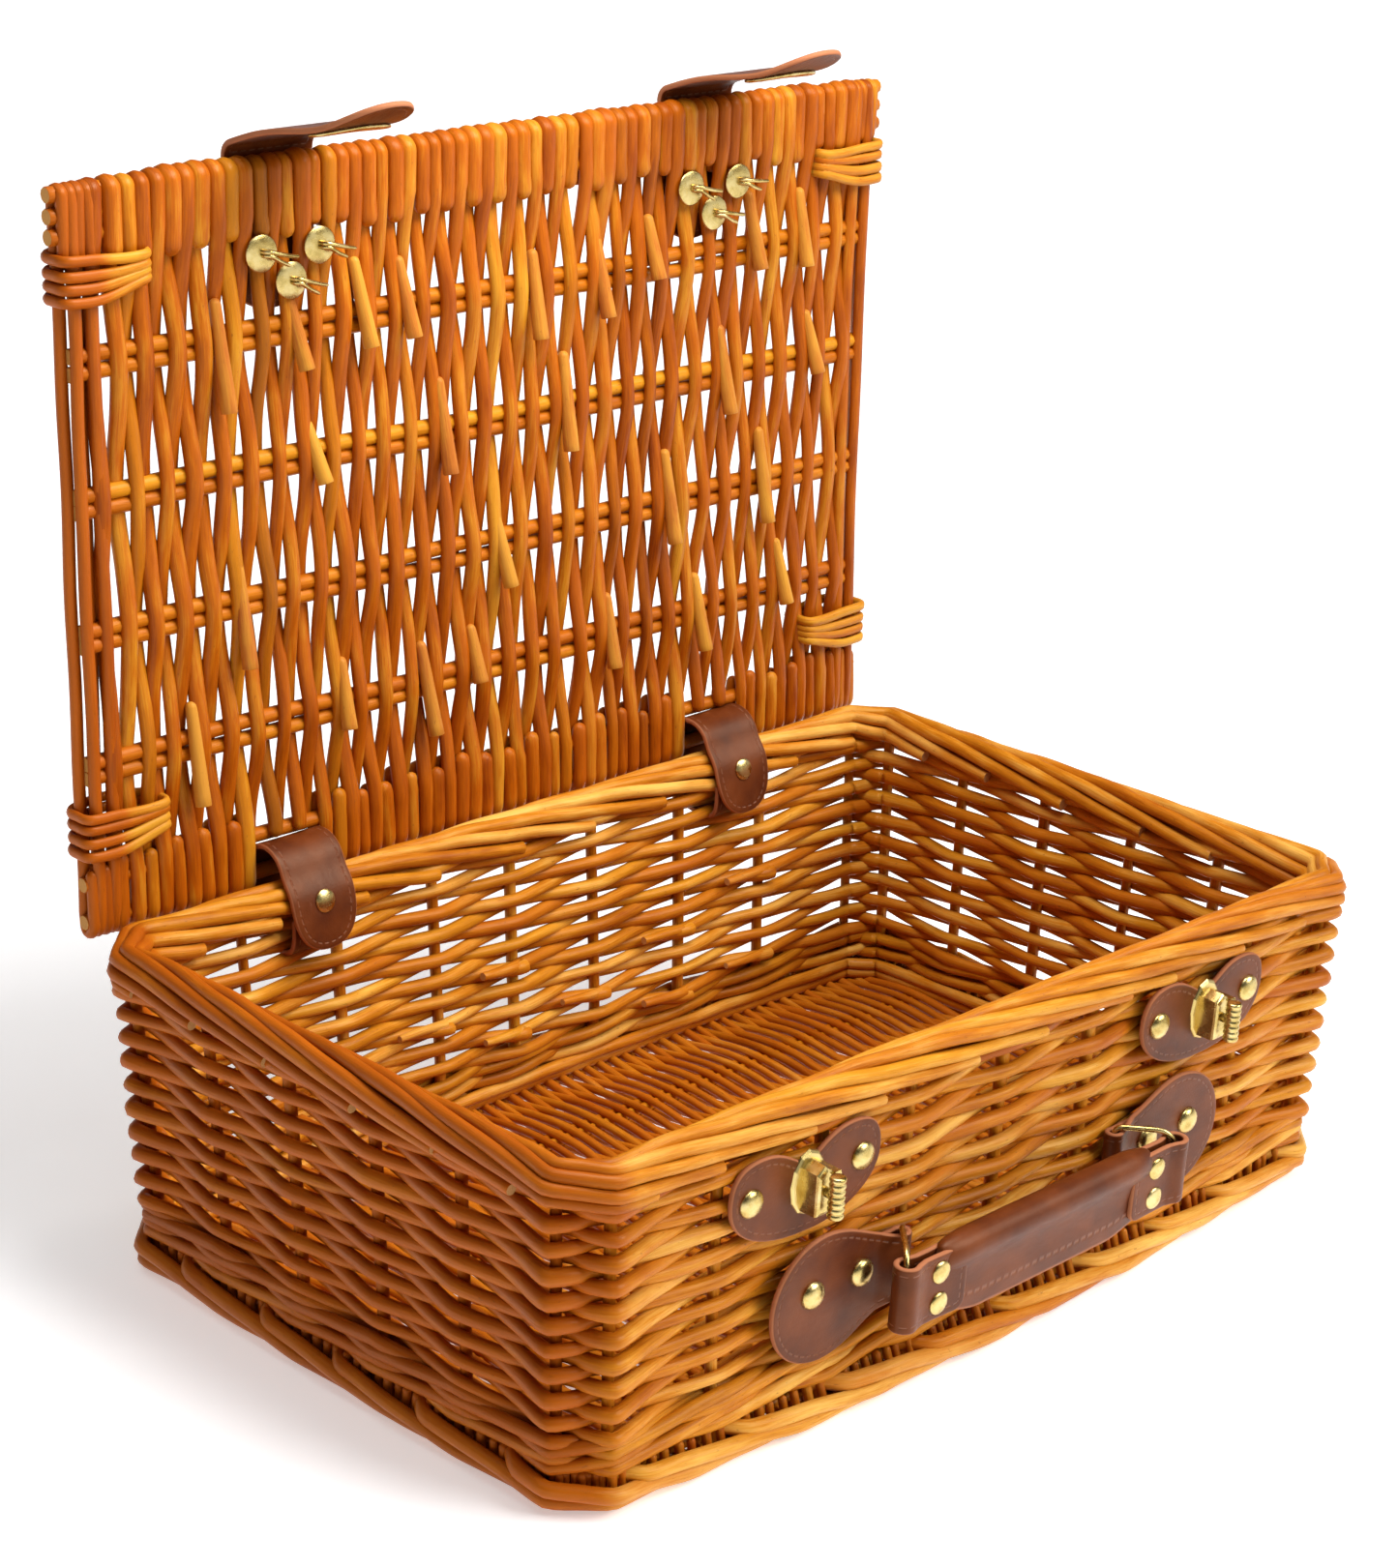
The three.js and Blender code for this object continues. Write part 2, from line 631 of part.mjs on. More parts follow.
// The grip's section: a roll along the top with a stitched skirt under it.
function gripSection() {
  const meet = Math.asin(GRIP_SKIRT / GRIP_ROLL);
  const section = new THREE.Shape();
  section.moveTo(-HANDLE_OUT + GRIP_SKIRT, -GRIP_DROP);
  section.absarc(-HANDLE_OUT, GRIP_RISE, GRIP_ROLL, -Math.PI / 2 + meet, Math.PI * 1.5 - meet);
  section.lineTo(-HANDLE_OUT - GRIP_SKIRT, -GRIP_DROP);
  section.closePath();
  return section;
}

// The handle's end seen from above: the strap folded back on itself round the ring's bar.
function handleEnd(sign) {
  const outline = new THREE.Shape();
  const thick = HANDLE_LOOP_GAP + LEATHER;
  const start = GRIP_HALF - 2;
  const neck = HANDLE_LOOP_IN - 4;
  outline.moveTo(start, -GRIP_SKIRT);
  outline.lineTo(neck, -GRIP_SKIRT);
  outline.lineTo(HANDLE_LOOP_IN, -thick);
  outline.lineTo(HANDLE_LOOP_X, -thick);
  outline.absarc(HANDLE_LOOP_X, 0, thick, -Math.PI / 2, Math.PI / 2);
  outline.lineTo(HANDLE_LOOP_IN, thick);
  outline.lineTo(neck, GRIP_SKIRT);
  outline.lineTo(start, GRIP_SKIRT);
  outline.closePath();
  const slot = new THREE.Path();
  slot.moveTo(HANDLE_LOOP_IN, -HANDLE_LOOP_GAP);
  slot.absarc(HANDLE_LOOP_X, 0, HANDLE_LOOP_GAP, -Math.PI / 2, Math.PI / 2);
  slot.absarc(HANDLE_LOOP_IN, 0, HANDLE_LOOP_GAP, Math.PI / 2, Math.PI * 1.5);
  slot.closePath();
  outline.holes.push(slot);
  const end = prism(outline, 2 * LOOP_HALF, 8).translate(0, 0, -LOOP_HALF);
  return (sign > 0 ? end : end.rotateZ(Math.PI)).translate(0, -HANDLE_OUT, 0);
}

function handle() {
  const grip = alongX(gripSection(), 2 * GRIP_HALF, 14);
  const holes = [-1, 1].flatMap((sign) =>
    [-1, 1].map((row) =>
      rodAlongY(SMALL_RIVET.shank + GAP, 30, sign * HANDLE_RIVET_X, -HANDLE_OUT, row * HANDLE_RIVET_RISE),
    ),
  );
  return cut(join(grip, handleEnd(1), handleEnd(-1)), ...holes).translate(0, 0, HANDLE_UP);
}

function addHandle(face) {
  for (const [side, sign] of Object.entries(SIDES)) {
    place(face, `handle_tab_${side}`, "leather", handleTab(sign));
    for (const [end, x] of Object.entries(TAB_RIVETS)) {
      const stud = rivet(BIG_RIVET, -WALL_DEEP, 2 * (LEATHER + GAP));
      place(face, `tab_rivet_${side}_${end}`, "brass", stud.translate(sign * x, 0, TAB_RIVET_UP));
    }
    place(face, `d_ring_${side}`, "brass", dRing(sign));
    for (const [row, step] of Object.entries({ upper: 1, lower: -1 })) {
      const stud = rivet(SMALL_RIVET, HANDLE_OUT - GRIP_SKIRT, HANDLE_OUT + GRIP_SKIRT);
      stud.translate(sign * HANDLE_RIVET_X, 0, HANDLE_UP + step * HANDLE_RIVET_RISE);
      place(face, `handle_rivet_${side}_${row}`, "brass", stud);
    }
  }
  place(face, "handle_grip", "leather", handle());
}

// ---- lid ----

// The lid's section: flat faces, and a full round where the weave turns over each rail.
function lidSection() {
  const half = LID_THICKNESS / 2;
  const lift = Math.acos(half / LID_WRAP);
  const section = new THREE.Shape();
  section.absarc(LID_MIDDLE, FRONT_RAIL_Z, LID_WRAP, -lift, Math.PI + lift);
  section.absarc(LID_MIDDLE, HINGE_RAIL_Z, LID_WRAP, Math.PI - lift, 2 * Math.PI + lift);
  section.closePath();
  return section;
}

function lidRibSection(height, thickness) {
  return roundedRectangle(thickness / 2, height / 2, thickness / 2 - 0.01);
}

const ribHeights = Array.from({ length: RIB_COUNT }, (_, i) => RIB_FIRST + i * RIB_PITCH);
const WEAVE_HALF = LID_WIDTH / 2 - SIDE_RODS - GAP;

function lidRib(z, slack) {
  const section = lidRibSection(RIB_HEIGHT + 2 * slack, RIB_ROD + 2 * slack);
  return alongX(section, 2 * (WEAVE_HALF - GAP + 2 * slack), 4).translate(0, LID_MIDDLE, z);
}

function railBores() {
  return [
    rodAlongX(HINGE_RAIL_RADIUS + GAP + 0.1, LID_WIDTH + 10, LID_MIDDLE, HINGE_RAIL_Z),
    rodAlongX(FRONT_RAIL_RADIUS + GAP + 0.1, LID_WIDTH + 10, LID_MIDDLE, FRONT_RAIL_Z),
  ];
}

function lidWeave() {
  const panel = alongX(lidSection(), 2 * WEAVE_HALF, 8);
  const ribSlots = ribHeights.map((z) => lidRib(z, GAP + 0.1));
  const sideCuts = Object.values(SIDES).flatMap((sign) => [
    box(STRAP_WIDTH + 2.4, 30, 2 * NOTCH_TOP, sign * STRAP_X, LID_MIDDLE, 0),
    ...Object.values(BINDING_ROWS).map((z) => bindingSlot(sign, z)),
    ...PINS.map((pin) => rodAlongY(PIN_RADIUS + GAP, 30, sign * (LOCK_X + pin.x), LID_MIDDLE, pin.z)),
  ]);
  return cut(panel, ...railBores(), ...ribSlots, ...sideCuts);
}

function lidSideRods(sign) {
  const middle = LID_WIDTH / 2 - SIDE_RODS / 2;
  const rods = alongX(lidSection(), SIDE_RODS, 8).translate(sign * middle, 0, 0);
  return cut(rods, ...railBores());
}

// The slot that a corner binding's skein passes through.
function bindingSlot(sign, z) {
  const x = LID_WIDTH / 2 - BINDING_REACH + BINDING_SKIN / 2;
  return box(BINDING_SKIN + 2 * GAP, 30, BINDING_HEIGHT + 2 * GAP, sign * x, LID_MIDDLE, z);
}

function binding(sign, z) {
  const inner = LID_WIDTH / 2 - BINDING_REACH;
  const outer = LID_WIDTH / 2 + GAP + BINDING_SKIN;
  const width = outer - inner;
  const deep = LID_THICKNESS + 2 * (GAP + BINDING_SKIN);
  const x = sign * (inner + width / 2);
  const block = box(width, deep, BINDING_HEIGHT, x, LID_MIDDLE, z);
  const hollow = box(width - 2 * BINDING_SKIN, LID_THICKNESS + 2 * GAP, BINDING_HEIGHT + 2, x, LID_MIDDLE, z);
  return cut(block, hollow);
}

// ---- hasps on the lid's front edge ----

const LID_FACE = LID_MIDDLE + LID_WRAP + GAP; // the underside of the hasp's root
const HASP_FOLD_Y = LID_FACE + LEATHER / 2;

function haspRoot() {
  const half = HASP_WIDTH / 2;
  const top = HASP_FOLD_Z - LEATHER / 2 - 0.4;
  const outline = new THREE.Shape();
  outline.moveTo(half, top);
  outline.lineTo(-half, top);
  outline.lineTo(-half, HASP_ROOT_BOTTOM + half);
  outline.absarc(0, HASP_ROOT_BOTTOM + half, half, Math.PI, Math.PI * 2);
  outline.closePath();
  const root = prism(outline, LEATHER, 10).rotateX(Math.PI / 2).translate(0, LID_FACE + LEATHER, 0);
  return cut(root, ...PINS.map((pin) => rodAlongY(PIN_RADIUS + GAP, 60, pin.x, 0, pin.z)));
}

// The flap's frame at rest: its origin is where the bend ends, along runs to the tip.
function haspFlapFrame() {
  const along = new THREE.Vector3(0, -Math.cos(HASP_LIFT), Math.sin(HASP_LIFT));
  const across = new THREE.Vector3(1, 0, 0);
  const normal = across.clone().cross(along);
  const bend = Math.PI / 2 - HASP_LIFT;
  const y = HASP_FOLD_Y - HASP_BEND + HASP_BEND * Math.cos(bend);
  const z = HASP_FOLD_Z + HASP_STEM + HASP_BEND * Math.sin(bend);
  return new THREE.Matrix4().makeBasis(across, along, normal).setPosition(0, y, z);
}

function haspSlotCut(slack) {
  const { width, length, corner } = HASP_SLOT;
  const shape = roundedRectangle(width / 2 + slack, length / 2 + slack, corner);
  return prism(shape, 30, 3).translate(0, HASP_SLOT_AT, -15);
}

function haspOutline() {
  const half = HASP_WIDTH / 2;
  const tip = HASP_TIP_WIDTH / 2;
  const outline = new THREE.Shape();
  outline.moveTo(-half, -40);
  outline.lineTo(half, -40);
  outline.lineTo(half, 6);
  outline.quadraticCurveTo(tip, 14, tip, 26);
  outline.lineTo(tip, HASP_LENGTH - tip);
  outline.absarc(0, HASP_LENGTH - tip, tip, 0, Math.PI);
  outline.lineTo(-tip, 26);
  outline.quadraticCurveTo(-tip, 14, -half, 6);
  outline.closePath();
  return outline;
}

function haspFlap() {
  const frame = haspFlapFrame();
  const path = new THREE.Path();
  path.moveTo(HASP_FOLD_Y, HASP_FOLD_Z);
  path.lineTo(HASP_FOLD_Y, HASP_FOLD_Z + HASP_STEM);
  path.absarc(HASP_FOLD_Y - HASP_BEND, HASP_FOLD_Z + HASP_STEM, HASP_BEND, 0, Math.PI / 2 - HASP_LIFT);
  const end = new THREE.Vector3(0, HASP_LENGTH, 0).applyMatrix4(frame);
  path.lineTo(end.y, end.z);
  const sheet = alongX(ribbon(path, LEATHER, 6), HASP_WIDTH);
  const outline = prism(haspOutline(), 80, 10).translate(0, 0, -40).applyMatrix4(frame);
  const foldEdge = rodAlongX(LEATHER / 2, HASP_WIDTH, HASP_FOLD_Y, HASP_FOLD_Z);
  return cut(join(common(sheet, outline), foldEdge), haspSlotCut(0.5).applyMatrix4(frame));
}

function haspPlate() {
  const { width, length, thickness } = HASP_PLATE;
  const plate = bevelledPrism(ellipse(width / 2, length / 2), thickness, PLATE_EDGE, 10, 1);
  plate.translate(0, HASP_SLOT_AT, LEATHER / 2 + GAP);
  return cut(plate, haspSlotCut(0)).applyMatrix4(haspFlapFrame());
}

// A split pin: a round head outside, its shank through strap and lid, a washer inside,
// and two legs bent apart.
function splitPin() {
  const inside = LID_MIDDLE - LID_THICKNESS / 2 - GAP;
  const outside = LID_FACE + LEATHER + GAP;
  const body = turned([
    [0, -outside - 2],
    [3, -outside - 1.6],
    [5, -outside],
    [PIN_RADIUS, -outside],
    [PIN_RADIUS, -inside],
    [8, -inside],
    [8, 0.8 - inside],
    [PIN_RADIUS, 0.8 - inside],
    [PIN_RADIUS, 2.6 - inside],
    [0, 2.6 - inside],
  ]);
  const legs = [
    { way: -1, length: 10 },
    { way: 1, length: 15 },
  ].map(({ way, length }) =>
    box(length + 1, 0.9, 3, (way * length) / 2, 0, 0)
      .rotateZ(-way * PIN_LEG_LIFT)
      .translate(0, inside - 2, 0),
  );
  return join(body, ...legs);
}

function addLid(lid) {
  place(lid, "lid_weave", "willow", lidWeave());
  const hingeRail = rodAlongX(HINGE_RAIL_RADIUS, LID_WIDTH - 1, LID_MIDDLE, HINGE_RAIL_Z);
  const frontRail = rodAlongX(FRONT_RAIL_RADIUS, LID_WIDTH - 1, LID_MIDDLE, FRONT_RAIL_Z);
  place(lid, "lid_hinge_rail", "willow", hingeRail);
  place(lid, "lid_front_rail", "willow", frontRail);
  ribHeights.forEach((z, i) => place(lid, `lid_rib_${i + 1}`, "rib_willow", lidRib(z, 0)));
  for (const [side, sign] of Object.entries(SIDES)) {
    place(lid, `lid_side_rods_${side}`, "willow", lidSideRods(sign));
    for (const [row, z] of Object.entries(BINDING_ROWS)) {
      place(lid, `lid_binding_${side}_${row}`, "willow", binding(sign, z));
    }
    const x = sign * LOCK_X;
    place(lid, `hasp_root_${side}`, "leather", haspRoot().translate(x, 0, 0));
    place(lid, `hasp_flap_${side}`, "leather", haspFlap().translate(x, 0, 0));
    place(lid, `hasp_plate_${side}`, "brass", haspPlate().translate(x, 0, 0));
    for (const pin of PINS) {
      const name = `split_pin_${side}_${pin.name}`;
      place(lid, name, "brass", splitPin().translate(x + sign * pin.x, 0, pin.z));
    }
  }
}

// ---- the whole hamper ----

const hamper = new THREE.Group();
addBasket(hamper);
addHingeStraps(hamper);

const frontFace = new THREE.Group();
frontFace.rotation.x = LEAN;
frontFace.position.set(0, FACE_Y, 0);
hamper.add(frontFace);
addTurnLocks(frontFace);
addHandle(frontFace);

const lid = new THREE.Group();
lid.position.copy(PIVOT);
hamper.add(lid);
addLid(lid);

export default hamper;
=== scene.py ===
"""Looks of a willow picnic hamper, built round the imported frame: woven rods, leather straps and brass.
Lengths are in millimetres until a mesh is made. X runs along the front, +Y to the back and Z up."""

import math

import bpy
import numpy as np
from mathutils import Matrix, Vector
from mathutils.geometry import delaunay_2d_cdt


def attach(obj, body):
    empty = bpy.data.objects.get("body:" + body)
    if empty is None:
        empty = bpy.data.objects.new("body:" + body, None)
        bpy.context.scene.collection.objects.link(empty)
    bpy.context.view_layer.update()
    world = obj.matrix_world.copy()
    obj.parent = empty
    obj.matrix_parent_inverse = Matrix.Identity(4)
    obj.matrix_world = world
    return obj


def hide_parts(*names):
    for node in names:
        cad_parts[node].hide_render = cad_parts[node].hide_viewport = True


MM = 0.001
rng = np.random.default_rng(11)

# The basket's stake line, halfway through the thickness of the wall, measured at the base
STAKE_X = 223.5
STAKE_Y = 138.5
CORNER = 13.5
LEAN = 0.05
BACK_STAKES = (-160, -111, -57, -12, 38, 93, 147)
FRONT_STAKES = (-157, -102, -53, 1, 55, 104, 157)
SIDE_STAKES = (-74, -25, 26, 77)
STAKE_RADIUS = 2.6
WEAVER_RADIUS = 3.0
WEAVE_REACH = 4.2
WEAVE_BOTTOM = 29.4
COURSES = 20
COURSE_PITCH = 5.42
WALE_RADIUS = 2.9
KINK = 0.2
STAKE_TOP = 138
RAND_LEAD = 0.06
RAND_TAIL = 0.52
# How much redder and darker than the rest the left side's willow is painted, as painted shade on the side
# turned away from the key light
LEFT_PAINTED_SHADE = np.array([1.7, 1.9, 0.0])
# How far the long and the short walls bow out at the ground, and the height where the bow ends
LONG_BOW = 14.0
SHORT_BOW = 4.0
BOW_HEIGHT = 42.0

# The lid, from its hinge pivot: d is through its thickness and h runs up it
PIVOT_Y = 154.5
PIVOT_Z = 150.0
LID_D = 8.0
LID_HALF = 234.0
RIBS = (65.5, 122.5, 179.5, 236.5)
HINGE_RAIL = -1.2
FRONT_RAIL = 304.3
LID_PITCH = 7.1
LID_WEAVE_HALF = 214.5
LID_REACH = 3.9
RAIL_DEEP = 16.0
STRAP_X = 128.0
NOTCH = 20.0
STRAP_REACH = 14.8

# Fittings on the front wall, whose own frame has x along it, w out of it and v up it
FACE_Y = -145.5
FACE_LEAN = math.atan(LEAN)
LEATHER = 2.5
STITCH_IN = 3.2
LOCK_X = 122.0
LOCK_UP = 112.0
TAB_LOOP_X = 66.4
TAB_LOOP_OUT = 4.6
HANDLE_UP = 57.0
RING_SPLAY = math.radians(48)
RING_REACH = 26.0
HANDLE_OUT = TAB_LOOP_OUT + RING_REACH * math.sin(RING_SPLAY)
SIDES = {"left": -1, "right": 1}

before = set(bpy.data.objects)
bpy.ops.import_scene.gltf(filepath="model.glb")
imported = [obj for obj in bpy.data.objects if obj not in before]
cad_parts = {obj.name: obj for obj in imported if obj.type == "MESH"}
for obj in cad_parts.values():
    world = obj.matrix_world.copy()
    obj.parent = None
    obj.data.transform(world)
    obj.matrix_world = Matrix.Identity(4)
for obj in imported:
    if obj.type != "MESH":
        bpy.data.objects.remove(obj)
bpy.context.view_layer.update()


# ---- small helpers ----

def unit(v):
    return v / np.maximum(np.linalg.norm(v, axis=-1, keepdims=True), 1e-9)


def ease(t):
    t = np.clip(t, 0, 1)
    return t * t * (3 - 2 * t)


def wander(x, amount, waves=(45, 105, 250)):
    """A smooth random wave along x."""
    total = np.zeros_like(x, dtype=float)
    for wave in waves:
        turn = 2 * math.pi / (wave * rng.uniform(0.8, 1.25))
        total += rng.uniform(0.25, 0.6) * np.sin(x * turn + rng.uniform(0, 2 * math.pi))
    return amount * total


def spline(points, step=2.0):
    """A smooth curve through points (Catmull-Rom), sampled about every step."""
    p = np.asarray(points, float)
    p = np.vstack([2 * p[0] - p[1], p, 2 * p[-1] - p[-2]])
    out = []
    for a, b, c, d in zip(p[:-3], p[1:-2], p[2:-1], p[3:]):
        n = max(2, int(np.linalg.norm(c - b) / step))
        t = np.linspace(0, 1, n, endpoint=False)[:, None]
        curve = 2 * b + (c - a) * t + (2 * a - 5 * b + 4 * c - d) * t**2 + (3 * b - a - 3 * c + d) * t**3
        out.append(0.5 * curve)
    return np.vstack(out + [p[-2:-1]])


def arc(cx, cy, radius, start, end, step=0.7):
    """Points on an arc, with angles in degrees."""
    n = max(4, int(abs(math.radians(end - start)) * radius / step))
    angle = np.radians(np.linspace(start, end, n))
    return np.c_[cx + radius * np.cos(angle), cy + radius * np.sin(angle)]


def resample(path, step):
    """The same open path with points every step or so."""
    path = np.asarray(path, float)
    path = path[np.r_[True, np.linalg.norm(np.diff(path, axis=0), axis=1) > 1e-6]]
    along = np.r_[0, np.cumsum(np.linalg.norm(np.diff(path, axis=0), axis=1))]
    even = np.linspace(0, along[-1], max(2, int(along[-1] / step) + 1))
    return np.stack([np.interp(even, along, path[:, k]) for k in range(path.shape[1])], 1)


def on_face(x, w, v):
    """Points in the front wall's frame as points of the hamper."""
    c, s = math.cos(FACE_LEAN), math.sin(FACE_LEAN)
    x, w, v = np.broadcast_arrays(x, w, v)
    return np.stack([x, FACE_Y - w * c - v * s, v * c - w * s], -1)


FACE_UP = on_face(0, 0, 1) - on_face(0, 0, 0)


def on_lid(x, d, h):
    x, d, h = np.broadcast_arrays(x, d, h)
    return np.stack([x, PIVOT_Y + d, PIVOT_Z + h], -1)


def tube_faces(rings, sides):
    """The numbers of a tube's vertices, ring by ring, and the four-sided faces between the rings."""
    ring = np.arange(rings * sides).reshape(rings, sides)
    nxt = np.roll(ring, -1, 1)
    return ring, np.stack([ring[:-1], nxt[:-1], nxt[1:], ring[1:]], -1).reshape(-1, 4)


def fan_faces(count):
    """Triangles from a closed rim of so many points to the middle point that follows them."""
    k = np.arange(count)
    return np.stack([k, (k + 1) % count, np.full(count, count)], -1)


class Surface:
    """Vertices, faces and per-vertex attributes gathered into one mesh."""

    def __init__(self):
        self.verts = []
        self.faces = []
        self.attributes = {}
        self.count = 0

    def add(self, verts, faces, **attributes):
        verts = np.asarray(verts, float).reshape(-1, 3)
        self.faces += [np.asarray(f, np.int64) + self.count for f in faces if len(f)]
        self.verts.append(verts)
        for name, values in attributes.items():
            values = np.asarray(values, float)
            if values.ndim < 2 and len(values) != len(verts):
                values = np.tile(values, (len(verts), 1))
            self.attributes.setdefault(name, []).append(values)
        self.count += len(verts)

    def build(self, name, material, body, slot, replaces=(), smooth=True):
        verts = np.vstack(self.verts) * MM
        loops = np.concatenate([f.ravel() for f in self.faces])
        sizes = np.concatenate([np.full(len(f), f.shape[1]) for f in self.faces])
        mesh = bpy.data.meshes.new(name)
        mesh.vertices.add(len(verts))
        mesh.vertices.foreach_set("co", verts.ravel())
        mesh.loops.add(len(loops))
        mesh.loops.foreach_set("vertex_index", loops.astype(np.int32))
        mesh.polygons.add(len(sizes))
        mesh.polygons.foreach_set("loop_start", np.r_[0, np.cumsum(sizes)[:-1]].astype(np.int32))
        mesh.polygons.foreach_set("use_smooth", np.full(len(sizes), smooth))
        mesh.update(calc_edges=True)
        for key, parts in self.attributes.items():
            values = np.concatenate(parts)
            vector = values.ndim > 1
            data = mesh.attributes.new(key, "FLOAT_VECTOR" if vector else "FLOAT", "POINT").data
            data.foreach_set("vector" if vector else "value", values.ravel().astype(np.float32))
        mesh.materials.append(material)
        obj = bpy.data.objects.new(name, mesh)
        bpy.context.scene.collection.objects.link(obj)
        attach(obj, body)
        if replaces:
            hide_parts(*replaces)
        return obj


# ---- willow rods ----

# How a rod's end narrows: steps out past its last point and the share of its radius at each, in radii
ENDS = {
    "round": ((0.35, 0.93), (0.7, 0.7), (0.93, 0.32)),
    "cut": ((0.1, 0.93),),
}


class Rods(Surface):
    """Willow rods: each is a round sweep with its own tone, grain along it and rounded or cut ends."""

    def rod(
        self, points, radius, ref=(0, 0, 1), sides=10, start="round", end="round", flat=1.0, tone=None, bare=0
    ):
        p = np.asarray(points, float)
        r = np.broadcast_to(np.asarray(radius, float), len(p))
        t = unit(np.gradient(p, axis=0))
        head = [(p[0] - t[0] * r[0] * o, r[0] * k, t[0]) for o, k in reversed(ENDS[start])]
        tail = [(p[-1] + t[-1] * r[-1] * o, r[-1] * k, t[-1]) for o, k in ENDS[end]]
        p = np.vstack([[h[0] for h in head], p, [h[0] for h in tail]])
        r = np.r_[[h[1] for h in head], r, [h[1] for h in tail]]
        t = np.vstack([[h[2] for h in head], t, [h[2] for h in tail]])
        side = unit(np.cross(ref, t))
        up = np.cross(t, side)
        angle = np.arange(sides) * 2 * math.pi / sides
        c, s = np.cos(angle), np.sin(angle)
        lift = (c[None, :, None] * side[:, None] * flat + s[None, :, None] * up[:, None]) * r[:, None, None]
        verts = (p[:, None] + lift).reshape(-1, 3)
        along = np.r_[0, np.cumsum(np.linalg.norm(np.diff(p, axis=0), axis=1))]
        seed = rng.uniform(0, 500)
        across = (np.outer(r, c).ravel(), np.outer(r, s).ravel() + seed)
        grain = np.stack([np.repeat(along, sides) + seed, *across], 1)
        n = len(p)
        ring, quads = tube_faces(n, sides)
        # The tone carries painted shade: rods on the left side, turned from the key light, come out redder
        # and darker.
        shade = with_painted_left_shade(new_tone() if tone is None else tone, p)
        tone_and_painted_shade = np.repeat(shade, sides, 0)
        self.add(verts, [quads], tone=tone_and_painted_shade, grain=grain, cut=np.full(len(verts), bare))
        for last, kind, flip in ((0, start, True), (n - 1, end, False)):
            rim = verts[ring[last]]
            out = t[last] * (0.04 * r[last] if kind != "cut" else 0.0) * (-1 if flip else 1)
            fan = np.vstack([rim, rim.mean(0) + out])
            k = np.arange(sides)
            order = (np.roll(k, -1), k) if flip else (k, np.roll(k, -1))
            tris = np.stack([np.full(sides, sides), *order], -1)
            rings = np.c_[np.full(sides + 1, seed), np.r_[c, 0] * r[last], np.r_[s, 0] * r[last] + seed]
            paleness = np.full(sides + 1, 1.0 if kind == "cut" else bare)
            self.add(fan, [tris], tone=np.repeat(shade[last][None], sides + 1, 0), grain=rings, cut=paleness)


def with_painted_left_shade(tone, points):
    """A rod's tone at each of its points, with painted shade: redder and darker on the left side, away from
    the key light.
    """
    left = ease((-points[:, 0] - STAKE_X + 14) / 14)[:, None]
    return np.asarray(tone, float) - left * LEFT_PAINTED_SHADE


def new_tone(hue=0.0, value=0.0):
    """How far a rod leans to yellow or red, how light it is, and a number of its own."""
    return np.array([hue + rng.normal(0, 0.45), value + rng.normal(0, 0.45), rng.uniform(0, 100)])


# ---- the basket's stake line ----

def stake_ring():
    """The stakes' places at the base, going round from the front left, and the way out at each."""
    long_x, short_y = STAKE_X - CORNER, STAKE_Y - CORNER
    runs = (
        ([(x, -STAKE_Y) for x in (-long_x, *FRONT_STAKES, long_x)], (0, -1)),
        ([(STAKE_X, y) for y in (-short_y, *SIDE_STAKES, short_y)], (1, 0)),
        ([(x, STAKE_Y) for x in (long_x, *reversed(BACK_STAKES), -long_x)], (0, 1)),
        ([(-STAKE_X, y) for y in (short_y, *reversed(SIDE_STAKES), -short_y)], (-1, 0)),
    )
    places, outs = [], []
    for points, normal in runs:
        for i, point in enumerate(points):
            turn = math.radians({0: -22.5, len(points) - 1: 22.5}.get(i, 0))
            c, s = math.cos(turn), math.sin(turn)
            outs.append((normal[0] * c - normal[1] * s, normal[0] * s + normal[1] * c))
            places.append(point)
    return np.array(places, float), np.array(outs, float)


STAKES, OUTS = stake_ring()
COUNT = len(STAKES)
# The walls belly outwards near the bottom, most in the middle of each side
BOWS = np.where(
    np.abs(STAKES[:, 1]) == STAKE_Y,
    LONG_BOW * (1 - (STAKES[:, 0] / (STAKE_X - CORNER)) ** 2),
    SHORT_BOW * (1 - (STAKES[:, 1] / (STAKE_Y - CORNER)) ** 2),
)
ROUND = np.r_[0, np.cumsum(np.linalg.norm(np.roll(STAKES, -1, 0) - STAKES, axis=1))]


def stake_at(distance):
    """The stake coordinate, where whole numbers are stakes, at a distance round the basket."""
    turns = np.floor(distance / ROUND[-1])
    return np.interp(distance - turns * ROUND[-1], ROUND, np.arange(COUNT + 1)) + turns * COUNT


def distance_at(s):
    turns = np.floor(np.asarray(s, float) / COUNT)
    return np.interp(s - turns * COUNT, np.arange(COUNT + 1), ROUND) + turns * ROUND[-1]


def around(s, z, out):
    """Points round the wall: at stake coordinate s, height z and out from the stake line."""
    s, z, out = np.broadcast_arrays(np.asarray(s, float), z, out)
    j = np.floor(s).astype(int)
    f = (s - j)[..., None]
    here, there = j % COUNT, (j + 1) % COUNT
    base = STAKES[here] * (1 - f) + STAKES[there] * f
    normal = unit(OUTS[here] * (1 - f) + OUTS[there] * f)
    bow = (BOWS[here] * (1 - f[..., 0]) + BOWS[there] * f[..., 0]) * np.clip(1 - z / BOW_HEIGHT, 0, 1) ** 2
    plan = base * (1 + LEAN * z[..., None] / np.array([STAKE_X, STAKE_Y])) + normal * (out + bow)[..., None]
    return np.concatenate([plan, z[..., None]], -1)


def samples(start, end, step=3.4):
    """Stake coordinates from start to end at even distances, keeping every corner stake."""
    a, b = distance_at(start), distance_at(end)
    s = stake_at(np.linspace(a, b, max(3, int((b - a) / step))))
    inner = np.arange(math.ceil(start + 0.01), math.floor(end - 0.01) + 1)
    return np.unique(np.round(np.concatenate([s, inner]), 5))


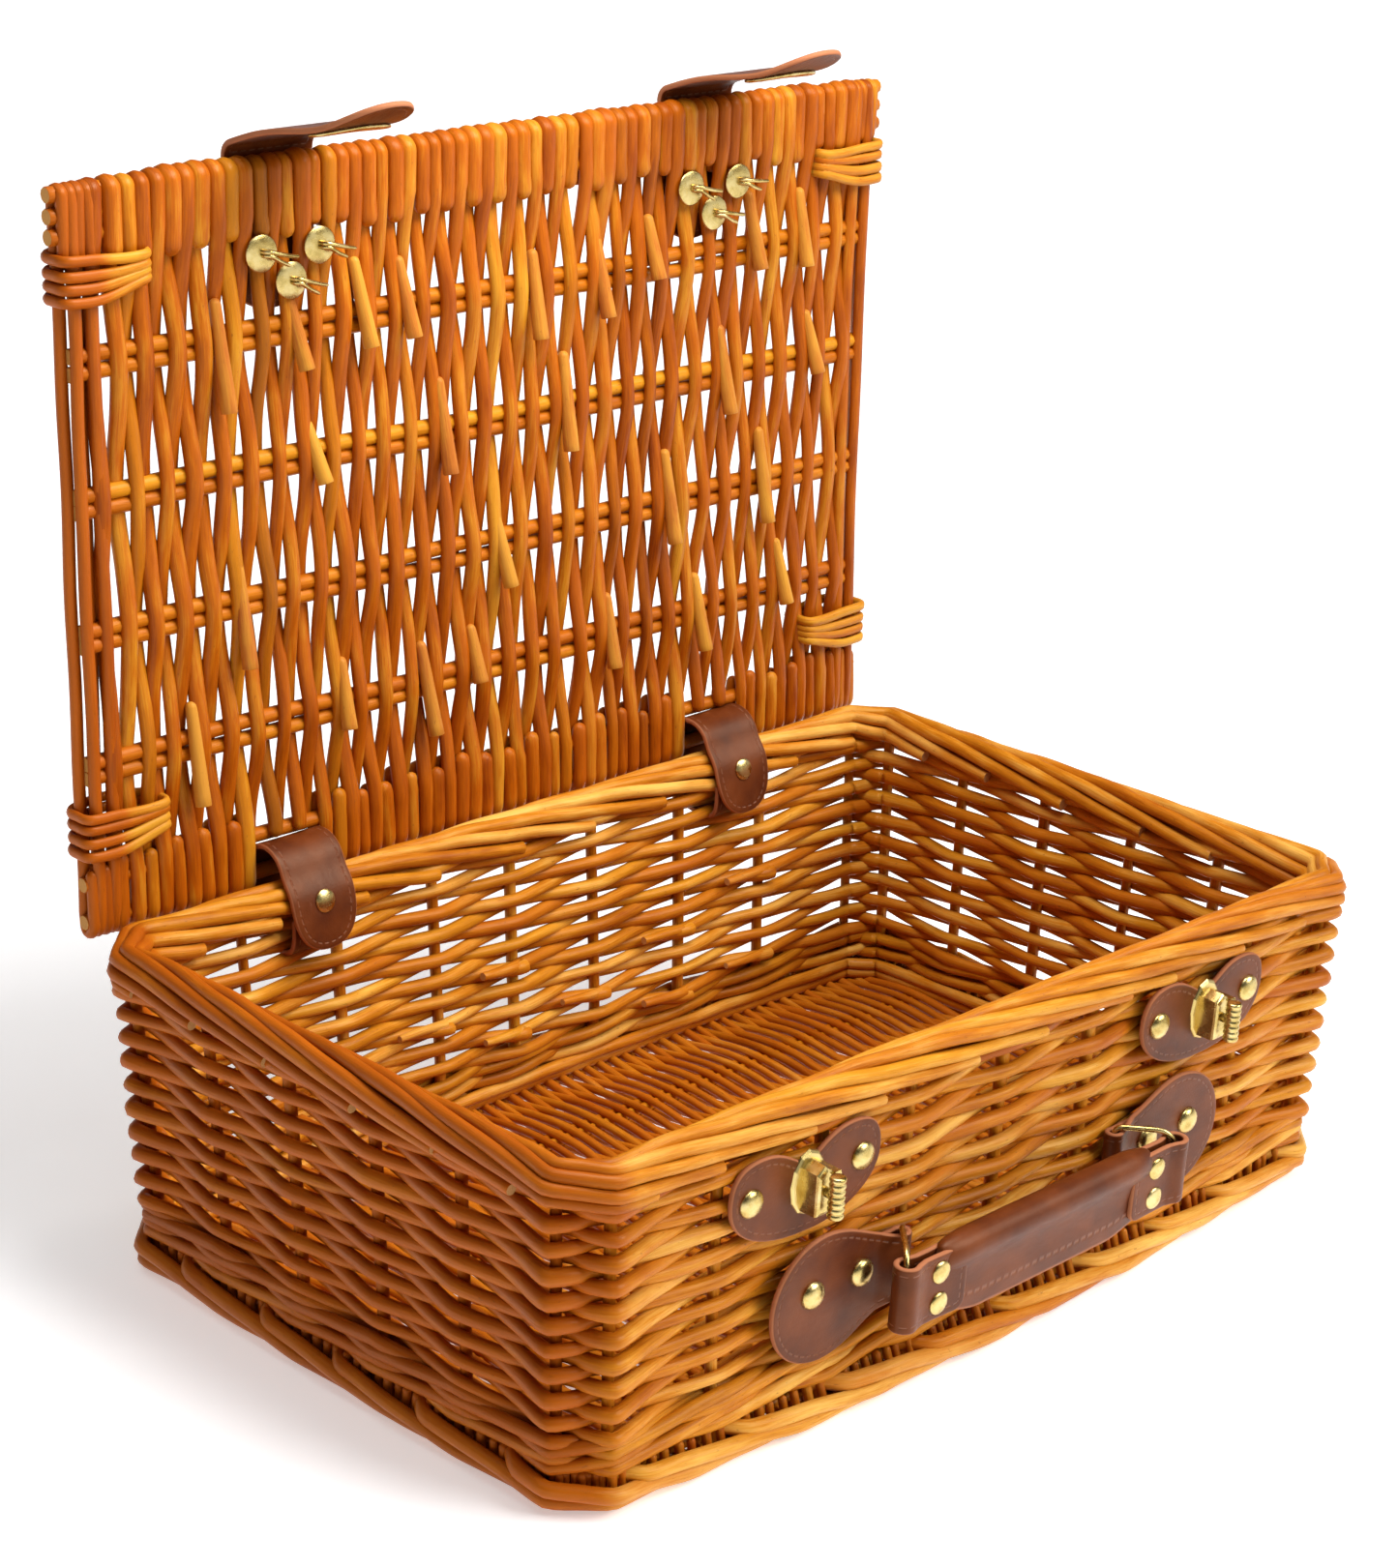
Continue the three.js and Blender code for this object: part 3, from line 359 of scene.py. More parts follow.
def zigzag(m, kink):
    """One at a stake and zero halfway to the next: nearly straight runs with a rounded turn."""
    return (math.hypot(1, kink) - np.sqrt(4 * m * m + kink * kink)) / (math.hypot(1, kink) - kink)


CORNERS = [j for j in range(COUNT) if abs(OUTS[j, 0] * OUTS[j, 1]) > 0.01]


def near_corner(s):
    """One at a corner stake, falling to zero a little way from it."""
    d = distance_at(s)
    apart = [np.abs((d - distance_at(j) + ROUND[-1] / 2) % ROUND[-1] - ROUND[-1] / 2) for j in CORNERS]
    return np.exp(-((np.min(apart, axis=0) / 13.0) ** 2))


def randing(rods, course, joints):
    """One course of weaving: a rod runs from each joint to the next, starting and ending inside a stake."""
    z0 = WEAVE_BOTTOM + WEAVER_RADIUS + course * COURSE_PITCH
    for a, b in zip(joints, [*joints[1:], joints[0] + COUNT]):
        s = samples(a - RAND_LEAD, b + RAND_TAIL)
        j = np.round(s)
        side = np.where((j + course) % 2 == 0, 1, -1)
        out = WEAVE_REACH * side * zigzag(np.abs(s - j), KINK)
        distance = distance_at(s)
        bulge = near_corner(s)
        begin = 1 - ease((distance - distance[0]) / 26)
        tail = np.clip((s - b) / RAND_TAIL, 0, 1)
        tucked = -WEAVE_REACH - 1.2 - 1.8 * tail
        out = np.where(s > b, tucked, out + bulge * (1.3 + 0.8 * side)) - 1.8 * begin
        z = z0 + wander(distance, 0.7, (60, 110, 260)) - 1.6 * begin + 2.0 * tail
        share = (distance - distance[0]) / (distance[-1] - distance[0])
        thickness = WEAVER_RADIUS * rng.uniform(0.88, 1.12)
        radius = thickness * (1.06 - 0.12 * share) * (1 + wander(distance, 0.04)) * (1 + 0.12 * bulge)
        radius = radius * (1 - 0.35 * tail)
        out = out + wander(distance, 0.3)
        tone = new_tone(0, 0.1) if course % 3 else new_tone(-0.3, -0.2)
        rods.rod(around(s, z, out), radius, start="cut", end="cut", tone=tone)


def ring_joints(course):
    """The stakes where a course's rods meet: a stair low on the back, the rest inside the left and front."""
    middle = (np.abs(STAKES[:, 0]) < 200) | (np.abs(STAKES[:, 1]) < 115)
    back = np.flatnonzero((STAKES[:, 1] == STAKE_Y) & middle)
    front = np.flatnonzero((STAKES[:, 1] == -STAKE_Y) & middle)
    left = np.flatnonzero((STAKES[:, 0] == -STAKE_X) & middle)
    inside = lambda group: [int(j) for j in group if (j + course) % 2 == 1]
    fore, other = inside(front), inside(back if course < COURSES // 2 else left)
    return sorted({fore[course % len(fore)], other[course // 2 % len(other)]})


def basket_walls(willow):
    """The courses of the walls, as a lower and an upper half, and the stakes that they go round."""
    middle = COURSES // 2
    halves = (
        ("weave_lower", range(middle), ("front_wall", "left_wall")),
        ("weave_upper", range(middle, COURSES), ("back_wall", "right_wall")),
    )
    for name, courses, replaced in halves:
        rods = Rods()
        for course in courses:
            randing(rods, course, ring_joints(course))
        rods.build(name, willow, "basket", "willow", replaced)
    stakes = Rods()
    z = np.linspace(5, STAKE_TOP, 24)
    for j in range(COUNT):
        path = around(np.full_like(z, j), z, wander(z, 0.25))
        stakes.rod(path, STAKE_RADIUS * rng.uniform(0.9, 1.12), ref=(1, 0, 0), tone=new_tone(0.2, -0.1))
    stakes.build("stakes", willow, "basket", "willow")


def wale(willow):
    """Two rounds of three-rod waling: each rod goes outside two stakes and inside the third, climbing."""
    rods = Rods()
    for round_, z0 in enumerate((20.6, 27.8)):
        for strand in range(3):
            phase_shift = strand + round_ * 2
            s = samples(phase_shift + 5, phase_shift + 5 + COUNT + 0.3)
            phase = np.mod(s - 5 - phase_shift, 3)
            out = WEAVE_REACH * (-1 + 2 * ease(phase) - 2 * ease(phase - 2)) + 0.9
            climb = np.interp(phase, (0, 1, 2, 3), (0, -2.4, 2.4, 0))
            distance = distance_at(s)
            z = z0 + climb + wander(distance, 0.35)
            rods.rod(around(s, z, out), WALE_RADIUS * (1 + wander(distance, 0.04)), start="cut")
    rods.build("wale", willow, "basket", "willow", ("upsett_wale",))


def lane(points, share):
    """Where a rod of a border lies across the border, for each share of its length: out and up."""
    shares, outs, ups = np.array(points, float).T
    bend = lambda values: np.interp(share, shares, values)
    return bend(outs), bend(ups)


def laid_border(rods, pitch, length, lanes, radii, lean, values, soften=7):
    """A border of rods laid one after another, each from the inside to a lower place on the outside."""
    turns = int(ROUND[-1] / pitch)
    window = np.ones(soften) / soften
    soft = lambda line: np.convolve(np.pad(line, soften // 2, "edge"), window, "valid")
    for k in range(turns):
        start = k * ROUND[-1] / turns + rng.normal(0, 2.5)
        distance = np.arange(0, pitch * length * rng.uniform(0.96, 1.04), 3.0)
        share = distance / distance[-1]
        out, z = lane(lanes, share)
        out = soft(out) + wander(distance, 0.3)
        z = soft(z) + wander(distance, 0.4)
        s = stake_at(start + distance)
        radius = np.interp(share, (0, 0.75, 1), radii) * rng.uniform(0.93, 1.06)
        radius = radius * (1 + wander(distance, 0.03))
        path = around(s, z, out + near_corner(s) * lean)
        rods.rod(path, radius, start="cut", end="cut", tone=new_tone(*values))


def foot(willow):
    """The foot: rods come out through the base as knuckles and run down the bottom edge, three deep."""
    rods = Rods()
    lanes = (
        (0, -2.0, 12.6), (0.05, -0.5, 13.0), (0.1, 7.4, 12.0), (0.35, 8.4, 9.6), (0.65, 6.8, 4.8),
        (1, 2.6, 3.2),
    )
    laid_border(rods, 50.0, 2.7, lanes, (3.4, 3.2, 2.6), 1.5, (0, 0.5), 3)
    s = samples(0.3, COUNT + 0.2)
    rods.rod(around(s, 3.6, np.full_like(s, -2.6)), 3.4, tone=new_tone(0, -0.6))
    s = samples(2.3, COUNT + 2.2)
    distance = distance_at(s)
    for z, out in ((9.8, -4.2), (14.6, -4.6)):
        path = around(s, z + wander(distance, 0.4), out + wander(distance, 0.3))
        rods.rod(path, 2.9, start="cut", end="cut")
    z = np.linspace(8.5, 14.5, 5)
    for j in np.arange(0, COUNT, 0.125):
        s = np.full_like(z, j + rng.uniform(-0.02, 0.02))
        path = around(s, z, 3.0 + wander(z, 0.6))
        radius = 2.0 * rng.uniform(0.85, 1.1)
        rods.rod(path, radius, ref=(1, 0, 0), sides=8, tone=new_tone(-0.4, -1.1))
    rods.build("foot_rods", willow, "basket", "willow", ("foot_border",))


def border(willow):
    """The rim: long rods one after another, each from the inside over the top to the outside."""
    rods = Rods()
    lanes = (
        (0, -5.6, 132.5), (0.12, -6.0, 138.0), (0.26, -4.9, 143.8), (0.42, -1.0, 147.0),
        (0.58, 3.9, 145.4), (0.74, 6.6, 140.4), (0.88, 6.9, 135.4), (1, 6.2, 131.2),
    )
    laid_border(rods, 44.0, 6.2, lanes, (3.1, 2.9, 2.5), 1.2, (0, 0.2))
    s = samples(0.3, COUNT + 0.2)
    for z, out in ((141.2, 0.0), (135.6, 0.4)):
        rods.rod(around(s, z, np.full_like(s, out)), 4.0, tone=new_tone(0, -0.8))
    rods.build("rim_rods", willow, "basket", "willow", ("top_border",))


def floor_weave(willow, sticks):
    """The base: fine rods from front to back, over and under pairs of sticks that run along it."""
    rods = Rods()
    rows = np.array([-96.0, -32.0, 32.0, 96.0])
    middle, reach, radius, pitch, half = 5.6, 3.2, 2.05, 4.05, 217
    for i, x in enumerate(np.arange(-half, half + 0.1, pitch)):
        reach_y = 134 + LONG_BOW * (1 - (x / half) ** 2)
        y = np.linspace(-reach_y, reach_y, 84)
        station = (y - rows[0]) / (rows[1] - rows[0])
        sway = (-1) ** i * np.cos(math.pi * station)
        z = middle + reach * sway + wander(y, 0.25)
        path = np.c_[x + wander(y, 0.5), y, z]
        rods.rod(path, radius * rng.uniform(0.88, 1.12), sides=8, tone=new_tone(-1.3, -0.5))
    rods.build("floor_rods", willow, "basket", "willow", ("base_panel",))
    pairs = Rods()
    x = np.arange(-219, 219.1, 6.0)
    for y in rows:
        for side in (-1, 1):
            path = np.c_[x, y + side * 2.5 + wander(x, 0.3), np.full_like(x, middle)]
            pairs.rod(path, 2.4, start="cut", end="cut")
    pairs.build("floor_sticks", sticks, "basket", "rib_willow")


# ---- the lid ----

def thickness_at(x):
    """The lid's weave is squeezed thinner where the corner bindings hold it."""
    return np.where(abs(x) > 189, 0.78, 1.0)


def turned_end(x, rail, way, side):
    """The end of a weaver: turned round a rail, it runs back on the other face to its own tip."""
    reach = LID_REACH * thickness_at(x)
    tip = rail - way * (RAIL_DEEP + rng.uniform(5, 10))
    angle = np.radians(np.linspace(0, 180, 13))
    bend_d = side * reach * np.cos(angle)
    hang = reach - 0.6 if way > 0 else reach + 1.8
    bend_h = rail + way * hang * np.sin(angle)
    run = np.linspace(rail, tip, 10)[1:]
    tuck = np.linspace(0, 1, 10)[1:] ** 2
    run_d = -side * (reach - 0.9 * tuck)
    return np.r_[bend_d, run_d], np.r_[bend_h, run]


def lid_weaver(rods, index, x):
    """One weaver of the lid: round the hinge rail, in and out of the ribs, and round the front rail."""
    stations = np.array([HINGE_RAIL + RAIL_DEEP, *RIBS, FRONT_RAIL - RAIL_DEEP])
    sides = np.array([(-1) ** (index + k) for k in range(len(stations))], float)
    reach = LID_REACH * thickness_at(x)
    h = np.arange(stations[0], stations[-1], 3.1)
    where = np.interp(h, stations, np.arange(len(stations)))
    near = np.round(where)
    d = reach * sides[near.astype(int)] * zigzag(np.abs(where - near), 0.24)
    top_d, top_h = turned_end(x, FRONT_RAIL, 1, sides[-1])
    band = np.arange(stations[-1], FRONT_RAIL - 0.5, 2.5)
    foot_h = np.arange(HINGE_RAIL + 0.5, stations[0], 2.5)
    d, h = np.r_[np.full(len(foot_h), sides[0] * reach), d], np.r_[foot_h, h]
    if abs(abs(x) - STRAP_X) < NOTCH:
        keep = np.hypot(LID_D + d, h) > STRAP_REACH + 3.2
        d, h = d[keep], h[keep]
    else:
        low_d, low_h = turned_end(x, HINGE_RAIL, -1, sides[0])
        d, h = np.r_[low_d[::-1], d], np.r_[low_h[::-1], h]
    d = np.r_[d, np.full(len(band), sides[-1] * reach), top_d]
    h = np.r_[h, band, top_h]
    sway = wander(h, 0.9, (60, 120, 300)) * np.where((h > 20) & (h < 285), 1, 0.5)
    width = rng.uniform(3.25, 4.05)
    order = np.arange(len(h))
    wrapped = np.clip((h - 272) / 14, 0, 1) * rng.uniform(0.02, 0.16)
    tip = 0.12 * np.exp(-((len(h) - 1 - order) / 1.5) ** 2)
    taper = np.linspace(0.06, -0.06, len(h)) * rng.choice([-1, 1])
    rods.rod(
        on_lid(x + sway, LID_D + d, h),
        width * (1 + taper + wander(h, 0.035) + wrapped + tip),
        ref=(1, 0, 0),
        flat=0.78,
        tone=new_tone(-0.1, -0.1),
    )


def lid_weave(willow):
    """The weavers of the lid, side by side, as a left and a right half."""
    columns = np.linspace(-LID_WEAVE_HALF, LID_WEAVE_HALF, int(2 * LID_WEAVE_HALF / LID_PITCH) + 1)
    halves = {"lid_weave_left": columns[columns < 0], "lid_weave_right": columns[columns >= 0]}
    offset = 0
    for name, xs in halves.items():
        rods = Rods()
        for x in xs:
            lid_weaver(rods, offset, x + rng.normal(0, 0.45))
            offset += 1
        rods.build(name, willow, "lid", "willow", ("lid_weave",) if name.endswith("left") else ())


def lid_butts(willow):
    """Cut ends of weavers that were let in, lying on the inner face and standing off it a little."""
    rods = Rods()
    places = (
        (-176, 0), (-158, 3), (-150, 1), (-121, 3), (-112, 2), (-96, 0), (-86, 3), (-62, 3), (-51, 0),
        (-40, 2), (-22, 0), (-8, 1), (14, 3), (33, 2), (52, 3), (61, 0), (84, 3), (97, 1), (118, 0),
        (131, 2), (148, 3), (159, 1), (173, 0), (182, 3), (189, 2),
    )
    for x, rib in places:
        length = rng.uniform(22, 44)
        top = RIBS[rib] + rng.uniform(14, 26)
        share = np.linspace(0, 1, 12)
        lean = rng.uniform(-1.5, 4.0)
        path = on_lid(x + lean * share, LID_D - 2.2 - 7.6 * share, top - length * share)
        radius = np.linspace(2.7, 3.7, 12)
        rods.rod(path, radius, ref=(1, 0, 0), end="cut", tone=new_tone(0.1, 0.6), bare=0.18)
    rods.build("lid_butts", willow, "lid", "willow")


def lid_frame(sticks):
    """The sticks that the weavers turn round at both edges, and the pairs of ribs between."""
    rails = Rods()
    bars = ((HINGE_RAIL, LID_HALF - 2.0, (0.4, 17.4)), (FRONT_RAIL, LID_HALF + 1.0, (0.4, -8.0, -16.4)))
    for rail, half, lifts in bars:
        x = np.linspace(-half, half, 95)
        for lift in lifts:
            path = on_lid(x, LID_D + wander(x, 0.3), rail + lift + wander(x, 0.3))
            rails.rod(path, 3.4, start="cut", end="cut", tone=new_tone(0.3, 0.2))
    rails.build("lid_rails", sticks, "lid", "rib_willow", ("lid_hinge_rail", "lid_front_rail"))
    x = np.arange(-LID_HALF + 6, LID_HALF - 5, 5.0)
    for k, rib in enumerate(RIBS):
        pair = Rods()
        for lift in (-3.35, 3.35):
            bow = wander(x, 0.8, (160, 330))
            pair.rod(on_lid(x, LID_D, rib + lift + bow), 3.4, start="cut", end="cut")
        pair.build(f"lid_rib_pair_{k + 1}", sticks, "lid", "rib_willow", (f"lid_rib_{k + 1}",))


def lid_side(willow, side):
    """Four long rods down each side of the lid, turned round the rails like the weavers."""
    sign = SIDES[side]
    rods = Rods()
    for k, x in enumerate((218.6, 222.4, 226.2, 229.4)):
        face = -1 if k % 2 == 0 else 1
        d, h = turned_end(x, FRONT_RAIL, 1, face)
        low_d, low_h = turned_end(x, HINGE_RAIL, -1, face)
        run = np.linspace(HINGE_RAIL, FRONT_RAIL, 70)[1:-1]
        reach = face * 3.6 * (1 - 0.35 * np.sin(math.pi * (run - HINGE_RAIL) / (FRONT_RAIL - HINGE_RAIL)))
        spread = np.r_[np.zeros(len(low_h)), 1.6 * np.sin(math.pi * run / FRONT_RAIL), np.zeros(len(h))]
        hh = np.r_[low_h[::-1], run, h]
        dd = np.r_[low_d[::-1], reach, d]
        xx = sign * (x + spread * (k - 2.2) * 0.4 + wander(hh, 0.5, (90, 200)))
        radius = 2.95 * rng.uniform(0.94, 1.06)
        rods.rod(on_lid(xx, LID_D + dd, hh), radius, ref=(1, 0, 0), flat=0.82, tone=new_tone(-0.1, -0.2))
    rods.build(f"lid_side_{side}", willow, "lid", "willow", (f"lid_side_rods_{side}",))


def lid_binding(willow, side, row, middle):
    """Skein wrapped four times round the side rods and the first weavers."""
    sign = SIDES[side]
    inner, outer, deep = 192.5, 233.4, 7.4
    rods = Rods()
    for k in range(4):
        order = k - 1.5
        loop = rounded_box(inner, outer, deep, 2.4, 3.4, 0.7)
        loop = resample(np.vstack([loop, loop[:1]]), 2.0)
        sweep = np.linspace(0, 2 * math.pi, len(loop))
        reach = (loop[:, 0] - inner) / (outer - inner)
        fan = order * (3.1 + 2.3 * ease(reach * 1.4))
        sag = 1.6 * np.sin(math.pi * reach) * np.sign(loop[:, 1]) + 2.5 * (1 - reach) + rng.normal(0, 0.3)
        rods.rod(
            on_lid(sign * loop[:, 0], LID_D + loop[:, 1] * (1 + 0.04 * abs(order)), middle + fan + sag),
            2.3 * rng.uniform(0.9, 1.08) * (1 + wander(sweep * 30, 0.05)),
            flat=0.7,
            tone=new_tone(0.1, 0.9),
        )
    rods.build(f"binding_{side}_{row}", willow, "lid", "willow", (f"lid_binding_{side}_{row}",))


# ---- leather ----

def along_path(points, across):
    """A place function that follows a path: u along it, v across it and w off its outer side."""
    p = resample(points, 0.6)
    across = np.asarray(across, float)
    run = np.r_[0, np.cumsum(np.linalg.norm(np.diff(p, axis=0), axis=1))]
    normal = unit(np.cross(unit(np.gradient(p, axis=0)), across))

    def place(u, v, w):
        at = np.stack([np.interp(u, run, p[:, k]) for k in range(3)], -1)
        out = unit(np.stack([np.interp(u, run, normal[:, k]) for k in range(3)], -1))
        return at + np.multiply.outer(v, across) + out * w[..., None]

    return place, run[-1]


def on_front(x0, v0, w0):
    """A place function on the front wall: u along it, v up it and w out of it."""
    return lambda u, v, w: on_face(x0 + u, w0 + w, v0 + v)


def nearest(points, loop):
    """How far each point is from a closed loop, and how far round the loop its nearest place is."""
    a, b = loop, np.roll(loop, -1, 0)
    side = b - a
    length = np.linalg.norm(side, axis=1)
    run = np.r_[0, np.cumsum(length)[:-1]]
    t = ((points[:, None] - a) * side).sum(2) / np.maximum(length**2, 1e-9)
    t = np.clip(t, 0, 1)
    apart = np.linalg.norm(points[:, None] - (a + side * t[..., None]), axis=2)
    best = apart.argmin(1)
    rows = np.arange(len(points))
    return apart[rows, best], run[best] + t[rows, best] * length[best]


def contains(points, loop):
    x, y = points[:, :1], points[:, 1:]
    ax, ay = loop.T
    bx, by = np.roll(loop, -1, 0).T
    cross = ((ay > y) != (by > y)) & (x < (bx - ax) * (y - ay) / np.where(by == ay, 1e-9, by - ay) + ax)
    return cross.sum(1) % 2 == 1


def closed(outline, step):
    """A closed outline with points every step."""
    path = resample(np.vstack([outline, outline[:1]]), step)[:-1]
    area = 0.5 * np.sum(path[:, 0] * np.roll(path[:, 1], -1) - np.roll(path[:, 0], -1) * path[:, 1])
    return path if area > 0 else path[::-1]


def rounded_box(u0, u1, half, near, far, step=1.0):
    """A rectangle from u0 to u1 and half to each side, with a radius for its near and its far corners."""
    return np.vstack([
        arc(u1 - far, half - far, far, 0, 90, step),
        arc(u0 + near, half - near, near, 90, 180, step),
        arc(u0 + near, -half + near, near, 180, 270, step),
        arc(u1 - far, -half + far, far, 270, 360, step),
    ])


def oval(long, wide, count=64):
    angle = np.arange(count) * 2 * math.pi / count
    return np.c_[long * np.cos(angle), wide * np.sin(angle)]


def inside_out(place):
    """Whether a place function turns its faces inside out."""
    probes = ((8, 0, 0), (8.5, 0, 0), (8, 0.5, 0), (8, 0, 0.5))
    at, u, v, w = (place(*np.array([[a], [b], [c]], float))[0] for a, b, c in probes)
    return np.dot(np.cross(u - at, v - at), w - at) < 0


# How far in from a leather edge extra rings of points lie, so that its rounding and stitching come out clean
EDGE_RINGS = (0.25, 0.7, 1.6, 2.6, 3.2, 3.8)


def outside_holes(points, loops):
    """Which points lie inside the first loop and outside the others."""
    keep = contains(points, loops[0])
    for hole in loops[1:]:
        keep &= ~contains(points, hole)
    return keep


class Sheet(Surface):
    """Flat stock cut to outlines: leather or metal, bent by a place function, with its edges rounded over."""

    def cut(self, outline, place, thickness, holes=(), grid=2.2, rounding=0.8, rings=EDGE_RINGS, crown=0.0):
        loops = [closed(outline, 1.1)] + [closed(hole, 0.8)[::-1] for hole in holes]
        points = [*loops]
        ticks = [np.arange(low, high, grid) for low, high in zip(loops[0].min(0), loops[0].max(0))]
        inside = [np.stack(np.meshgrid(*ticks), -1).reshape(-1, 2)]
        limits = [max(rings) + 0.6 * grid]
        for ring in rings:
            for loop in loops:
                t = unit(np.roll(loop, -1, 0) - np.roll(loop, 1, 0))
                inside.append(loop + np.c_[-t[:, 1], t[:, 0]] * ring)
                limits.append(ring * 0.93)
        for extra, limit in zip(inside, limits):
            keep = outside_holes(extra, loops)
            for loop in loops:
                keep &= nearest(extra, loop)[0] > limit
            points.append(extra[keep])
        edges, start = [], 0
        for loop in loops:
            n = len(loop)
            edges += [(start + i, start + (i + 1) % n) for i in range(n)]
            start += n
        flat = [Vector(p) for p in np.vstack(points)]
        found = delaunay_2d_cdt(flat, edges, [], 0, 1e-5)
        uv = np.array([tuple(v) for v in found[0]])
        tris = np.array([tuple(f) for f in found[2] if len(f) == 3])
        tris = tris[outside_holes(uv[tris].mean(1), loops)]
        a, b, c = (uv[tris[:, k]] for k in range(3))
        area = (b[:, 0] - a[:, 0]) * (c[:, 1] - a[:, 1]) - (b[:, 1] - a[:, 1]) * (c[:, 0] - a[:, 0])
        tris = np.where(area[:, None] > 0, tris, tris[:, ::-1])[np.abs(area) > 1e-6]
        edge, along = nearest(uv, loops[0])
        for hole in loops[1:]:
            edge = np.minimum(edge, nearest(uv, hole)[0])
        over = np.clip(edge / rounding, 0, 1)
        half = thickness / 2 * (0.3 + 0.7 * np.sqrt(1 - (1 - over) ** 2))
        bulge = crown * (1 - np.exp(-edge / 3.0))
        top = place(uv[:, 0], uv[:, 1], half + bulge)
        under = place(uv[:, 0], uv[:, 1], bulge - half)
        n = len(uv)
        sides = np.vstack([tris[:, [0, 1]], tris[:, [1, 2]], tris[:, [2, 0]]])
        keys = {(int(i), int(j)) for i, j in sides}
        rim = np.array([(i, j) for i, j in keys if (j, i) not in keys])
        quads = np.c_[rim[:, 0] + n, rim[:, 1] + n, rim[:, 1], rim[:, 0]]
        faces = [tris, tris[:, ::-1] + n, quads]
        if inside_out(place):
            faces = [f[:, ::-1] for f in faces]
        seed = rng.uniform(0, 300)
        spot = np.c_[np.tile(uv, (2, 1)) + seed, np.r_[half, -half]]
        self.add(np.vstack([top, under]), faces, spot=spot, edge=np.tile(edge, 2), along=np.tile(along, 2))


def warp(place, amount):
    """The same placing with the stock gently waved, as used leather is."""
    phase = rng.uniform(0, 6, 4)

    def bent(u, v, w):
        wave = np.sin(u / 13 + phase[0]) * np.cos(v / 11 + phase[1])
        return place(u, v, w + amount * (wave + 0.5 * np.sin(u / 7 + v / 9 + phase[2])))

    return bent


def bezier(*points, count=14):
    p = np.array(points, float)
    t = np.linspace(0, 1, count)[:, None]
    return p[0] * (1 - t) ** 3 + 3 * p[1] * t * (1 - t) ** 2 + 3 * p[2] * t * t * (1 - t) + p[3] * t**3


def latch_patch(leather, side):
    """The butterfly-shaped leather under a lock plate, dipping at the top and round below."""
    half = np.vstack([
        bezier((0, 11), (7, 11.5), (12, 20), (25, 20)), bezier((25, 20), (36, 20), (41, 15), (41, 4))[1:],
        bezier((41, 4), (41, -10), (25, -20), (0, -20))[1:-1],
    ])
    outline = np.vstack([half, half[::-1] * (-1, 1)])
    sheet = Sheet()
    sheet.cut(outline, warp(on_front(SIDES[side] * LOCK_X, 110, 1.7), 0.25), LEATHER)
    sheet.build(f"latch_patch_{side}_hide", leather, "basket", "leather", (f"latch_patch_{side}",))


def handle_tab(leather, side):
    """The tab that holds a D-ring: it loops round the ring, back under itself, and is riveted to the wall."""
    front, back = TAB_LOOP_OUT - 0.7, 1.4
    path = np.vstack([
        [(138.0, front), (78.4, front)],
        arc(TAB_LOOP_X, TAB_LOOP_OUT, 3.2, 60, 300),
        [(78.4, back), (124.5, back)],
    ])
    sign = SIDES[side]
    points = on_face(sign * path[:, 0], path[:, 1], HANDLE_UP)
    place, length = along_path(points, -sign * FACE_UP)
    tail = 14.6
    wide = np.vstack([
        [(0.0, 0.0)],
        bezier((0, 0), (0, 14), (10, 27), (28, 28)),
        bezier((28, 28), (44, 28), (52, 19), (68, 15.0))[1:],
        [(length - tail, tail)],
        arc(length - tail, 0, tail, 90, 0),
    ])
    outline = np.vstack([wide, wide[::-1][1:-1] * (1, -1)])
    sheet = Sheet()
    sheet.cut(outline, warp(place, 0.2), LEATHER)
    sheet.build(f"handle_tab_{side}_hide", leather, "basket", "leather", (f"handle_tab_{side}",))


